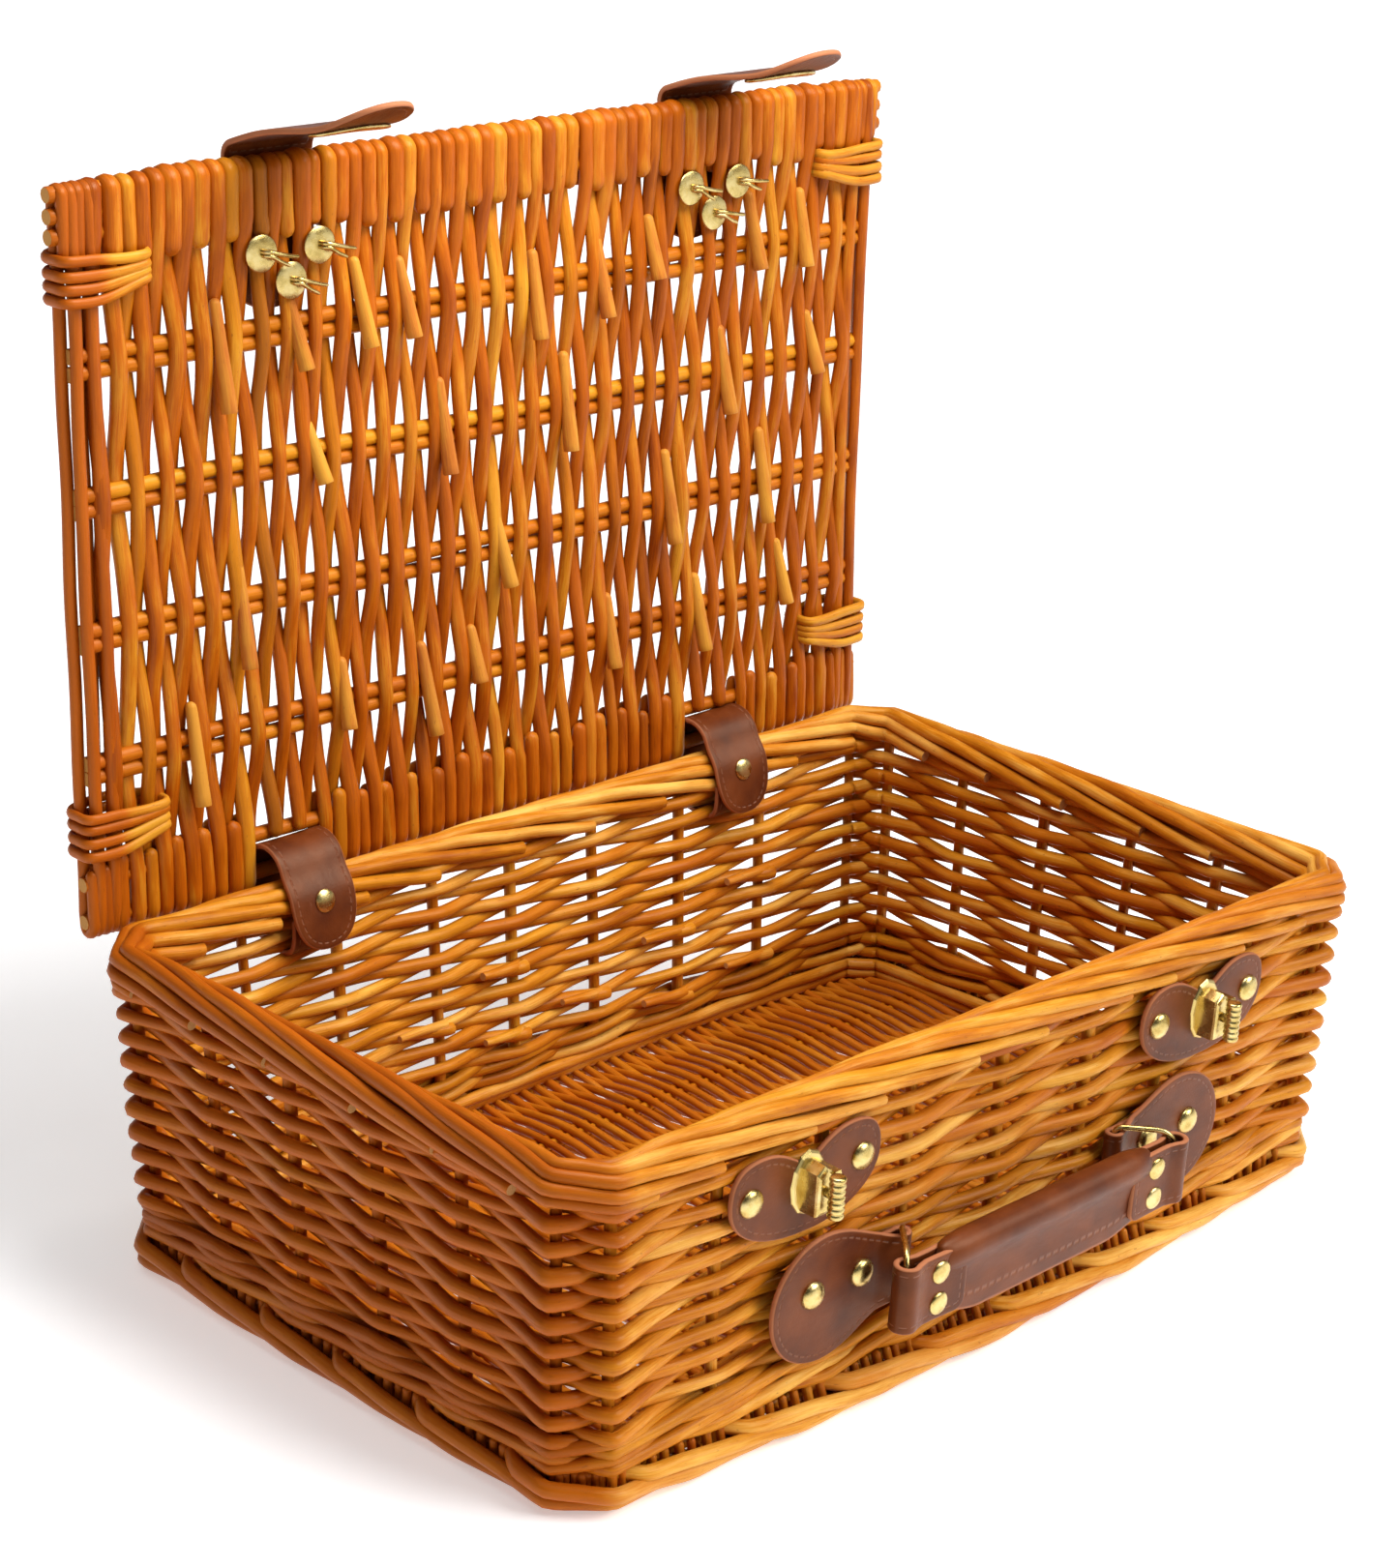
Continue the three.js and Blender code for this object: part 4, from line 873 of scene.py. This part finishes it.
def handle_grip(leather):
    """The grip: a sheet rolled along its top edge, whose ends narrow to straps folded round the rings."""
    middle, roll, axis, low, half = HANDLE_OUT, 7.0, 11, -20.5, 65.0
    sheet = Sheet()
    closing = 5 * (1 - np.cos(np.linspace(0, math.pi / 2, 6)))
    u = np.concatenate([closing - half, np.linspace(-half + 8, half - 8, 56), half - closing[::-1]])
    sweep = np.radians(np.linspace(-62, 242, 30))
    joint = (roll * math.cos(sweep[0]) + 2.2, axis + roll * math.sin(sweep[0]) + 0.6)
    side = spline([(1.7, low + 0.6), (2.5, low + 8), (2.9, low + 17), (4.1, 3.6), joint], 1.5)[:-1]
    top = np.c_[roll * np.cos(sweep), axis + roll * np.sin(sweep)][4:-4]
    hem = [(0.0, low), (1.0, low + 0.1)]
    section = np.vstack([hem, side, top, (side * (-1, 1))[::-1], [(-1.0, low + 0.1)]])
    ends = np.clip((half - np.abs(u)) / 21, 0, 1)
    squeeze = 0.4 + 0.6 * np.sqrt(1 - (1 - ends) ** 2.4)
    rise = 5.0 * (1 - ease((half - np.abs(u)) / 26))
    w = middle + np.outer(squeeze * (1 + wander(u, 0.015)), section[:, 0])
    v = np.where(section[:, 1] < 0, 0.99 * section[:, 1], section[:, 1])
    lower, upper = v[None] * (1 - rise[:, None] / 20), v[None] * (0.66 + 0.34 * squeeze[:, None])
    v = HANDLE_UP + np.where(v < 0, lower, upper)
    verts = on_face(np.repeat(u, len(section)), w.ravel(), v.ravel())
    ring, quads = tube_faces(len(u), len(section))
    girth = np.r_[0, np.cumsum(np.linalg.norm(np.diff(section, axis=0), axis=1))]
    spot = np.c_[np.repeat(u, len(section)), np.tile(girth, len(u)), np.zeros(len(verts))]
    hemmed = np.tile(section[:, 1] - low, len(u)) * STITCH_IN / 8.5
    run = np.repeat(u - u[0], len(section))
    sheet.add(verts, [quads[:, [0, 3, 2, 1]]], spot=spot, edge=hemmed, along=run)
    fan = fan_faces(len(section))
    for end, faces in ((0, fan[:, ::-1]), (-1, fan)):
        rim = verts[ring[end]]
        cap = np.vstack([rim, rim.mean(0)])
        sheet.add(cap, [faces], spot=cap, edge=np.full(len(cap), 0.3), along=np.zeros(len(cap)))
    for sign in (-1, 1):
        loop = np.vstack([
            [(52.0, 3.3), (70.0, 2.6), (76.0, 2.6)],
            arc(83.4, 0.0, 4.6, 125, -125),
            [(76.0, -2.6), (70.0, -2.6), (52.0, -3.3)],
        ])
        path = on_face(sign * loop[:, 0], middle + loop[:, 1], HANDLE_UP)
        place, length = along_path(path, sign * FACE_UP)
        sheet.cut(rounded_box(0, length, 14.6, 5.0, 5.0), place, LEATHER)
    sheet.build("handle_grip_hide", leather, "handle", "leather", ("handle_grip",))


def hinge_strap(leather, side):
    """A strap that stands as an arch behind the rim: its tail is inside, and its flap hangs down inside."""
    radius = 13.2
    arch = arc(PIVOT_Y, PIVOT_Z, radius, 0, 160, 1.2)
    tail = [
        (135.6, 134.0), (135.4, 126.0), (137.5, 119.5), (144.0, 117.4), (153.0, 118.6), (160.5, 121.5),
        (163.6, 127.0), (PIVOT_Y + radius, 140.0),
    ]
    flap = [
        tuple(arch[-1]), (140.0, 150.6), (137.5, 147.2), (135.6, 143.8), (134.4, 140.0), (133.2, 135.0),
        (132.2, 130.0), (131.2, 124.5), (130.4, 119.0),
    ]
    path = np.vstack([spline(tail, 1.2), arch, spline(flap, 1.2)[1:]])
    points = np.c_[np.full(len(path), SIDES[side] * STRAP_X), path]
    place, length = along_path(points, (-1, 0, 0))
    outline = np.vstack([
        [(0, -16), (0, 16), (40, 16.6), (length - 40, 17)],
        bezier((length - 22, 17), (length - 7, 17), (length, 11), (length, 0)),
        bezier((length, 0), (length, -11), (length - 7, -17), (length - 22, -17))[1:],
        [(length - 40, -17), (40, -16.6)],
    ])
    sheet = Sheet()
    sheet.cut(outline, warp(place, 0.2), LEATHER)
    sheet.build(f"hinge_strap_{side}_hide", leather, "basket", "leather", (f"hinge_strap_{side}",))


def hasp_root(leather, side):
    """The root of a hasp, held flat on the outside of the lid by three split pins."""
    sheet = Sheet()
    bottom, length = 244, 62
    place = lambda u, v, w: on_lid(SIDES[side] * LOCK_X - v, LID_D + 8.1 + w, bottom + u)
    outline = np.vstack([
        bezier((0, 0), (0, 12), (8, 23), (24, 23)),
        [(length, 23), (length, -23)],
        bezier((24, -23), (8, -23), (0, -12), (0, 0)),
    ])
    sheet.cut(outline, warp(place, 0.15), LEATHER)
    sheet.build(f"hasp_root_{side}_hide", leather, "lid", "leather", (f"hasp_root_{side}",))


def hasp_flap_place(side):
    """The flap rises from the fold, bends over and runs forward over the basket, turned up at its tip."""
    slope = math.radians(13.5)
    stem, bend = 2.0, 6.8
    start_d, start_h = 16.1, 307.3
    c, s = math.cos(slope), math.sin(slope)
    turn = np.linspace(0, math.pi / 2 - slope, 16)
    path = [(start_d, start_h), (start_d, start_h + stem)]
    path += [(start_d - bend * (1 - math.cos(a)), start_h + stem + bend * math.sin(a)) for a in turn[1:]]
    d, h = path[-1]
    for run in np.arange(2, 81, 2.0):
        lift = 1.4 * math.sin(2 * math.pi * run / 74) + 4.2 * max(0.0, (run - 52) / 29) ** 2
        path.append((d - run * c - lift * s, h + run * s + lift * c))
    path = np.array(path)
    points = on_lid(np.full(len(path), SIDES[side] * LOCK_X), path[:, 0], path[:, 1])
    return along_path(points, (-1, 0, 0))


def hasp_flap(leather, brass, side):
    """The flap with its slot, and the slotted plate on its inner face."""
    place, length = hasp_flap_place(side)
    slot_at = length - 32.8
    outline = np.vstack([
        [(0.6, -23), (14, -23), (length - 30, -19.5)],
        bezier((length - 30, -19.5), (length - 6, -19), (length, -9), (length, 0)),
        bezier((length, 0), (length, 9), (length - 6, 19), (length - 30, 19.5))[1:],
        [(14, 23), (0.6, 23)],
    ])
    slot = oval(5.75, 12.5, 40) + (slot_at, 0)
    sheet = Sheet()
    sheet.cut(outline, place, LEATHER, (slot,))
    sheet.build(f"hasp_flap_{side}_hide", leather, f"hasp_{side}", "leather", (f"hasp_flap_{side}",))
    plate = Sheet()
    inner_face = lambda u, v, w: place(u, v, w + LEATHER / 2 + 0.75)
    hole = oval(5.2, 12.0, 40) + (slot_at, 0)
    plate.cut(oval(12, 19) + (slot_at, 0), inner_face, 1.3, (hole,), 1.6, 0.6, (0.2, 0.5, 1.2, 2.2), 0.5)
    plate.build(f"hasp_plate_{side}_metal", brass, f"hasp_{side}", "brass", (f"hasp_plate_{side}",))


# ---- brass ----

class Metal(Surface):
    """Turned and formed metal."""

    def turned(self, profile, place, sides=40):
        """A profile of radius and height turned about the w axis of a place function."""
        radius, height = np.array(profile, float).T
        angle = np.arange(sides) * 2 * math.pi / sides
        u, v = np.outer(radius, np.cos(angle)).ravel(), np.outer(radius, np.sin(angle)).ravel()
        w = np.repeat(height, sides)
        quads = tube_faces(len(radius), sides)[1]
        if inside_out(place):
            quads = quads[:, ::-1]
        self.add(place(u, v, w), [quads], spot=np.c_[u, v, w] + rng.uniform(0, 200))

    def wire(self, points, radius, ref=(0, 0, 1), sides=14, flat=1.0):
        """A wire bent along points, with round ends."""
        holder = Rods()
        holder.rod(points, radius, ref, sides, flat=flat, tone=np.zeros(3))
        verts = np.vstack(holder.verts)
        self.add(verts, holder.faces, spot=verts + rng.uniform(0, 200))

    def loft(self, place, levels):
        """Flat-sided outlines, each at its own height, joined one to the next; the last is capped."""
        rows = [place(*np.array(line, float).T, np.full(len(line), height)) for line, height in levels]
        sides = len(rows[-1])
        self.add(np.vstack(rows), [tube_faces(len(rows), sides)[1]], spot=np.vstack(rows))
        cap = np.vstack([rows[-1], rows[-1].mean(0)])
        self.add(cap, [fan_faces(sides)], spot=cap)


def dome(radius, rise, base=0.0, steps=9):
    """The profile of a rivet head: a small upright edge and a round top."""
    edge = [(0.0, base), (radius - 0.5, base), (radius - 0.08, base + 0.1), (radius, base + 0.35)]
    angle = np.linspace(0.12, math.pi / 2, steps)
    top = [(radius * math.cos(a), base + 0.5 + (rise - 0.5) * math.sin(a)) for a in angle]
    return edge + top[:-1] + [(0.001, base + rise)]


def rivet(brass, name, place, radius, rise, body, underside=0.0):
    metal = Metal()
    metal.turned(dome(radius, rise, underside), place)
    metal.build(f"{name}_head", brass, body, "brass", (name,))


def front_rivets(brass):
    for side, sign in SIDES.items():
        for which, offset in (("inner", -30.5), ("outer", 30.5)):
            place = on_front(sign * (LOCK_X + offset), 113, 2.4)
            rivet(brass, f"latch_rivet_{side}_{which}", place, 6.0, 3.6, "basket")
        for which, x in (("inner", 88.8), ("outer", 116.5)):
            rivet(brass, f"tab_rivet_{side}_{which}", on_front(sign * x, 61, 4.9), 6.0, 3.6, "basket")


def hinge_rivets(brass):
    """Rivets through the flaps of the hinge straps, tilted as the flaps are."""
    tilt = 0.22
    for side, sign in SIDES.items():
        place = lambda u, v, w: np.stack([sign * STRAP_X + u, 132.6 - w + tilt * v, 140.6 + v + tilt * w], -1)
        rivet(brass, f"hinge_rivet_{side}", place, 5.2, 2.2, "basket", -0.9)


def handle_rivets(brass):
    """Domed rivets through the ends of the grip, with a head on each face."""
    for side, sign in SIDES.items():
        for which, offset in (("upper", 6.6), ("lower", -7.4)):
            metal = Metal()
            for face in (1, -1):
                spot = on_front(sign * 67.4, HANDLE_UP + offset, HANDLE_OUT)
                metal.turned(dome(5.0, 2.2), lambda u, v, w: spot(u, v, face * (w + 3.5)), 36)
            name = f"handle_rivet_{side}_{which}"
            metal.build(f"{name}_heads", brass, "handle", "brass", (name,))


def lock_plate(brass, side):
    """An oval plate with a broad raised staple: flat sides, a roofed top and a step on its right."""
    sign = SIDES[side]
    place = on_front(sign * LOCK_X, LOCK_UP, 2.5)
    metal = Metal()
    profile = [(0.0, 0.0), (0.985, 0.0), (1.0, 0.35), (0.97, 0.9), (0.9, 1.5), (0.8, 1.75), (0.0, 1.85)]
    metal.turned(profile, lambda u, v, w: place(u * 9.5, v * 14.2, w), 12)
    roofed = lambda half, up, top: [(-half, -up), (half, -up), (half, up - top), (0, up), (-half, up - top)]
    staple = ((4.6, 10.6, 2.8, 1.2), (4.4, 10.4, 2.8, 9.0), (4.1, 10.0, 3.0, 10.0), (3.0, 8.6, 2.6, 10.6))
    metal.loft(place, [(roofed(*sizes), height) for *sizes, height in staple])
    boxed = lambda half, up: [(5 - half, -up), (5 + half, -up), (5 + half, up), (5 - half, up)]
    step = ((1.6, 7.6, 1.2), (1.6, 7.6, 11.2), (1.2, 7.1, 11.9))
    metal.loft(place, [(boxed(*sizes), height) for *sizes, height in step])
    metal.build(f"lock_plate_{side}_metal", brass, "basket", "brass", (f"lock_plate_{side}",), smooth=False)


def turn_button(brass, side):
    """The ribbed barrel of the lock on its spindle, turned by the fingers."""
    sign = SIDES[side]
    ribs, length, radius = 7, 18.0, 3.4
    metal = Metal()
    pitch = length / ribs
    profile = [(0.001, -length / 2), (radius - 1.2, -length / 2)]
    for k in range(ribs):
        start = -length / 2 + k * pitch
        for t in np.linspace(0.06, 0.94, 8):
            profile.append((radius - 0.75 + 0.75 * math.sin(math.pi * t) ** 0.6, start + t * pitch))
    profile += [(radius - 1.2, length / 2), (0.001, length / 2)]
    centre = on_front(sign * LOCK_X, LOCK_UP, 18.4)
    metal.turned(profile, lambda u, v, w: centre(u, w, -v), 32)
    spindle = on_front(sign * LOCK_X, LOCK_UP, 13.2)
    metal.turned([(0.001, 0), (2.0, 0), (2.0, 5.5), (0.001, 5.5)], spindle, 20)
    metal.build(f"turn_button_{side}_metal", brass, f"turn_{side}", "brass", (f"turn_button_{side}",))


def d_ring(brass, side):
    """A D-shaped wire ring: a straight bar through the tab and a bow out to the grip."""
    sign = SIDES[side]
    radius, half, corner, bow = 1.25, 17, 3.2, 8
    loop = np.vstack([
        arc(corner, -half + corner, corner, 180, 270, 0.5),
        arc(RING_REACH - bow, -half + bow, bow, 270, 360, 0.8),
        arc(RING_REACH - bow, half - bow, bow, 0, 90, 0.8),
        arc(corner, half - corner, corner, 90, 180, 0.5),
    ])
    loop = resample(np.vstack([loop, loop[:1]]), 1.4)
    c, s = math.cos(RING_SPLAY), math.sin(RING_SPLAY)
    along, up = loop.T
    path = on_face(sign * (TAB_LOOP_X + along * c), TAB_LOOP_OUT + along * s, HANDLE_UP + up)
    ref = np.cross(path[10] - path[0], path[-12] - path[0])
    metal = Metal()
    metal.wire(path, radius, unit(ref))
    metal.build(f"d_ring_{side}_wire", brass, f"ring_{side}", "brass", (f"d_ring_{side}",))


def split_pin(brass, side, which, dx, h):
    """A split pin: a washer and two spread legs inside the lid, and a flat head outside it."""
    x = SIDES[side] * LOCK_X + SIDES[side] * dx
    metal = Metal()
    dish = [
        (0.001, 0.5), (4.0, 0.2), (7.4, -0.2), (7.9, 0.0), (8.0, 0.3), (7.5, 0.65), (4.0, 1.0), (1.7, 1.2),
        (0.001, 1.2),
    ]
    metal.turned(dish, lambda u, v, w: on_lid(x + u, 1.7 - w, h + v), 36)
    metal.turned(dome(5.2, 1.9), lambda u, v, w: on_lid(x + u, 17.4 + w, h - v), 32)
    droop = rng.uniform(-0.3, -0.12)
    for reach, slope, lift in ((15.5, droop, 0.9), (11.0, droop - 0.22, -0.7)):
        spine = [
            (0.0, lift, 1.2), (0.3, lift, -2.2), (2.2, lift - 0.2, -3.9),
            (reach * 0.6, slope * reach * 0.6 + lift, -4.3), (reach, slope * reach + lift, -3.6),
        ]
        along, up, out = spline(spine, 1.0).T
        radius = np.linspace(1.25, 0.95, len(along))
        metal.wire(on_lid(x + along, 1.5 + out, h + up), radius, ref=(0, 1, 0), sides=10, flat=0.9)
    metal.wire(on_lid(x, np.linspace(1.6, 17.6, 6), h), 1.2, ref=(1, 0, 0), sides=10)
    metal.build(f"split_pin_{side}_{which}_metal", brass, "lid", "brass", (f"split_pin_{side}_{which}",))


def fittings(leather, brass):
    """All the leather and brass."""
    for side in SIDES:
        latch_patch(leather, side)
        handle_tab(leather, side)
        hinge_strap(leather, side)
        hasp_root(leather, side)
        hasp_flap(leather, brass, side)
        lock_plate(brass, side)
        turn_button(brass, side)
        d_ring(brass, side)
        for which, dx, h in (("inner", -15, 271), ("outer", 15, 271), ("lower", 0, 258)):
            split_pin(brass, side, which, dx, h)
    handle_grip(leather)
    front_rivets(brass)
    hinge_rivets(brass)
    handle_rivets(brass)


# ---- materials ----

class Nodes:
    """Short ways to fill a node tree. A value is a number, a colour, a vector or another node's output."""

    def __init__(self, owner):
        owner.use_nodes = True
        self.owner = owner
        self.tree = owner.node_tree

    def feed(self, inputs, values):
        for key, value in values.items():
            if isinstance(value, bpy.types.NodeSocket):
                self.tree.links.new(value, inputs[key])
            else:
                inputs[key].default_value = (*value, 1) if inputs[key].type == "RGBA" else value

    def node(self, kind, inputs, **settings):
        made = self.tree.nodes.new(kind)
        for key, value in settings.items():
            setattr(made, key, value)
        self.feed(made.inputs, inputs)
        return made.outputs

    def attribute(self, name, output="Vector"):
        return self.node("ShaderNodeAttribute", {}, attribute_name=name, attribute_type="GEOMETRY")[output]

    def math(self, operation, *values, clamp=False):
        return self.node("ShaderNodeMath", dict(enumerate(values)), operation=operation, use_clamp=clamp)[0]

    def fit(self, value, gain, base, clamp=False):
        """A value times a gain, plus a base."""
        return self.math("MULTIPLY_ADD", value, gain, base, clamp=clamp)

    def noise(self, vector, stretch, detail, roughness=0.5):
        """Noise whose waves to the millimetre are given along each axis of the vector."""
        spread = self.node("ShaderNodeVectorMath", {0: vector, 1: stretch}, operation="MULTIPLY")[0]
        inputs = {"Vector": spread, "Scale": 1.0, "Detail": detail, "Roughness": roughness}
        return self.node("ShaderNodeTexNoise", inputs)["Fac"]

    def ramp(self, value, *stops):
        """A colour for each place along a value; a single number is a grey."""
        made = self.tree.nodes.new("ShaderNodeValToRGB")
        self.feed(made.inputs, {"Fac": value})
        elements = made.color_ramp.elements
        while len(elements) < len(stops):
            elements.new(0.5)
        for element, (at, colour) in zip(elements, stops):
            element.position = at
            element.color = (*colour, 1) if isinstance(colour, tuple) else (colour, colour, colour, 1)
        return made.outputs["Color"]

    def mix(self, share, a, b):
        return self.node("ShaderNodeMix", {0: share, 6: a, 7: b}, data_type="RGBA")[2]

    def bump(self, height, strength, distance):
        return self.node("ShaderNodeBump", {"Height": height, "Strength": strength, "Distance": distance})[0]

    def surface(self, **values):
        """Sets the surface shader's inputs, with _ for each space, and gives the material back."""
        self.feed(
            self.tree.nodes["Principled BSDF"].inputs,
            {key.replace("_", " "): value for key, value in values.items()},
        )
        return self.owner


def willow_material(name, dark, middle, light, pale, value_gain=0.16):
    """Lacquered willow: a tone for each rod, streaks along the grain, blotches, specks and pale cut ends."""
    m = Nodes(bpy.data.materials.new(name))
    grain, cut = m.attribute("grain"), m.attribute("cut", "Fac")
    # The tone's hue and value carry painted shade as well as each rod's own tone: the left side comes out
    # redder and darker.
    hue, value = m.node("ShaderNodeSeparateXYZ", {0: m.attribute("tone")})[:2]
    streak = m.noise(grain, (0.07, 1.6, 1.6), 4.0, 0.6)
    blotch = m.noise(grain, (0.028, 0.12, 0.12), 3.0, 0.55)
    speck = m.noise(grain, (0.35, 0.9, 0.9), 2.0)
    level = m.fit(value, value_gain, 0.5)
    level = m.fit(m.math("SUBTRACT", blotch, 0.5), 0.85, level)
    level = m.fit(m.math("SUBTRACT", streak, 0.5), 0.5, level, clamp=True)
    base = m.ramp(level, (0.18, dark), (0.5, middle), (0.82, light))
    base = m.mix(m.fit(hue, -0.3, 0.12, clamp=True), base, (0.46, 0.10, 0.004))
    base = m.mix(m.fit(hue, 0.3, -0.1, clamp=True), base, (0.72, 0.34, 0.015))
    spots = m.math("MULTIPLY", m.ramp(speck, (0.68, 0), (0.76, 1)), 0.55)
    base = m.mix(spots, base, (0.2, 0.05, 0.006))
    cut_face = m.mix(streak, pale, (0.42, 0.2, 0.07))
    return m.surface(
        Base_Color=m.mix(cut, base, cut_face),
        Roughness=m.fit(cut, 0.35, m.fit(streak, 0.28, 0.3)),
        Specular_IOR_Level=0.3,
        Specular_Tint=(1.0, 0.66, 0.28),
        Coat_Weight=0.08,
        Coat_Roughness=0.2,
        Coat_Tint=(1.0, 0.9, 0.7),
        Normal=m.bump(m.fit(blotch, 0.6, streak), 0.35, 0.0006),
    )


def leather_material():
    """Brown bridle leather: fine grain, soft mottling, pale cut edges and a sunk line of stitching."""
    m = Nodes(bpy.data.materials.new("leather"))
    spot, edge, along = m.attribute("spot"), m.attribute("edge", "Fac"), m.attribute("along", "Fac")
    mottle = m.noise(spot, (0.045, 0.045, 0.045), 4.0, 0.55)
    pores = m.noise(spot, (1.3, 1.3, 1.3), 3.0, 0.6)
    scuff = m.noise(spot, (0.12, 0.5, 0.3), 5.0, 0.65)
    browns = ((0.3, (0.062, 0.010, 0.002)), (0.5, (0.108, 0.021, 0.003)), (0.75, (0.165, 0.037, 0.007)))
    base = m.ramp(mottle, *browns)
    worn = m.ramp(scuff, (0.62, 0), (0.8, 1))
    base = m.mix(m.math("MULTIPLY", worn, 0.25), base, (0.3, 0.12, 0.07))
    raw = m.ramp(edge, (0.0, 1), (0.35, 0.9), (0.75, 0))
    base = m.mix(m.math("MULTIPLY", raw, 0.85), base, (0.44, 0.16, 0.07))
    away = m.math("ABSOLUTE", m.math("SUBTRACT", edge, STITCH_IN))
    line = m.math("SUBTRACT", 1.0, m.math("DIVIDE", away, 0.55), clamp=True)
    dash = m.math("SINE", m.math("MULTIPLY", along, 2 * math.pi / 4.4))
    stitch = m.math("MULTIPLY", line, m.fit(dash, 1.2, 0.9, clamp=True))
    height = m.fit(pores, 0.22, m.math("MULTIPLY", mottle, 0.3))
    return m.surface(
        Base_Color=m.mix(m.math("MULTIPLY", stitch, 0.4), base, (0.33, 0.14, 0.08)),
        Roughness=m.fit(raw, 0.25, m.fit(scuff, 0.3, 0.27)),
        Specular_IOR_Level=0.35,
        Specular_Tint=(1.0, 0.72, 0.5),
        Normal=m.bump(m.fit(stitch, -0.7, height), 0.55, 0.0007),
    )


def brass_material():
    """Pale polished brass with faint tarnish and fine scratches."""
    m = Nodes(bpy.data.materials.new("brass"))
    spot = m.attribute("spot")
    tarnish = m.noise(spot, (0.16, 0.16, 0.16), 4.0, 0.6)
    scratch = m.noise(spot, (0.5, 3.5, 1.5), 4.0, 0.6)
    golds = ((0.3, (0.40, 0.27, 0.07)), (0.5, (0.62, 0.47, 0.17)), (0.75, (0.76, 0.62, 0.30)))
    return m.surface(
        Base_Color=m.ramp(tarnish, *golds),
        Metallic=1.0,
        Roughness=m.fit(tarnish, 0.22, 0.16),
        Normal=m.bump(scratch, 0.18, 0.0002),
    )


def build_basket_and_lid(willow, lid_willow_with_painted_shade, sticks):
    basket_walls(willow)
    wale(willow)
    foot(willow)
    border(willow)
    floor_weave(willow, sticks)
    lid_weave(lid_willow_with_painted_shade)
    lid_butts(lid_willow_with_painted_shade)
    lid_frame(sticks)
    for side in SIDES:
        lid_side(lid_willow_with_painted_shade, side)
        lid_binding(lid_willow_with_painted_shade, side, "rear", 39.0)
        lid_binding(lid_willow_with_painted_shade, side, "front", 271.0)


def stage():
    """A large pale floor and soft lights."""
    scene = bpy.context.scene
    mesh = bpy.data.meshes.new("floor")
    mesh.from_pydata([(-14, -14, 0), (14, -14, 0), (14, 14, 0), (-14, 14, 0)], [], [(0, 1, 2, 3)])
    looks = Nodes(bpy.data.materials.new("floor"))
    pale, white = (0.95, 0.95, 0.95), (1, 1, 1)
    mesh.materials.append(
        looks.surface(Base_Color=pale, Roughness=0.9, Emission_Color=white, Emission_Strength=0.4)
    )
    floor = bpy.data.objects.new("floor", mesh)
    floor.location.z = -0.0005
    scene.collection.objects.link(floor)
    world = bpy.data.worlds.new("studio")
    scene.world = world
    sky = Nodes(world)
    height = sky.node("ShaderNodeSeparateXYZ", {0: sky.node("ShaderNodeTexCoord", {})["Generated"]})[2]
    glow = sky.ramp(height, (0.04, 0.9), (0.2, 0.16), (0.5, 0.07))
    sky.feed(sky.tree.nodes["Background"].inputs, {"Color": glow, "Strength": 1.0})
    sun("key", (0.66, -0.95, 0.95), 38, 2.65)
    sun("top", (-0.05, 0.02, 1.0), 50, 0.75)
    softbox((0.02, -0.12, 0.82), 0.42, 4.6)
    scene.view_settings.view_transform = "Standard"


def softbox(place, size, power):
    """A lamp over the basket, out of the picture, that reaches down inside it."""
    light = bpy.data.lights.new("softbox", "AREA")
    light.shape = "DISK"
    light.size = size
    light.energy = power
    made = bpy.data.objects.new("softbox", light)
    made.location = place
    bpy.context.scene.collection.objects.link(made)


def sun(name, towards, width, power):
    """A soft far light: a disc of sky so many degrees across."""
    light = bpy.data.lights.new(name, "SUN")
    light.angle = math.radians(width)
    light.energy = power
    made = bpy.data.objects.new(name, light)
    made.rotation_euler = Vector(towards).to_track_quat("Z", "Y").to_euler()
    bpy.context.scene.collection.objects.link(made)


CAMERA_AZIMUTH = math.radians(-44.595)
CAMERA_ELEVATION = math.radians(20.228)
CAMERA_ROLL = math.radians(1.327)
CAMERA_PLACE = (-0.9616, -0.9417, 0.6961)
CAMERA_LENS = 86.576


def camera():
    """The camera stands to the left of the front, a little above the rim, and leans slightly."""
    data = bpy.data.cameras.new("camera")
    data.lens = CAMERA_LENS
    data.sensor_fit = "HORIZONTAL"
    data.sensor_width = 36
    made = bpy.data.objects.new("camera", data)
    ce = math.cos(CAMERA_ELEVATION)
    along, across = math.sin(CAMERA_AZIMUTH), -math.cos(CAMERA_AZIMUTH)
    back = Vector((along * ce, across * ce, math.sin(CAMERA_ELEVATION)))
    right = Vector((0, 0, 1)).cross(back).normalized()
    up = back.cross(right)
    c, s = math.cos(CAMERA_ROLL), math.sin(CAMERA_ROLL)
    axes = Matrix((right * c + up * s, up * c - right * s, back)).transposed()
    made.matrix_world = Matrix.Translation(CAMERA_PLACE) @ axes.to_4x4()
    bpy.context.scene.collection.objects.link(made)
    bpy.context.scene.camera = made


# Dark, middle and light willow, and the pale wood of its cut ends
willow = willow_material(
    "willow", (0.28, 0.055, 0.001), (0.55, 0.192, 0.008), (0.80, 0.45, 0.09), (0.72, 0.44, 0.17)
)
# The lid's willow: redder by its own tone, and darker partly as painted shade on the lid's face.
lid_willow_with_painted_shade = willow_material(
    "lid_willow_with_painted_shade", (0.20, 0.026, 0.0004), (0.42, 0.092, 0.0008), (0.62, 0.28, 0.02), (0.60, 0.30, 0.09), 0.2
)
sticks = willow_material(
    "rib_willow", (0.28, 0.060, 0.0008), (0.46, 0.120, 0.0016), (0.60, 0.225, 0.008), (0.58, 0.27, 0.05)
)
build_basket_and_lid(willow, lid_willow_with_painted_shade, sticks)
fittings(leather_material(), brass_material())
stage()
camera()
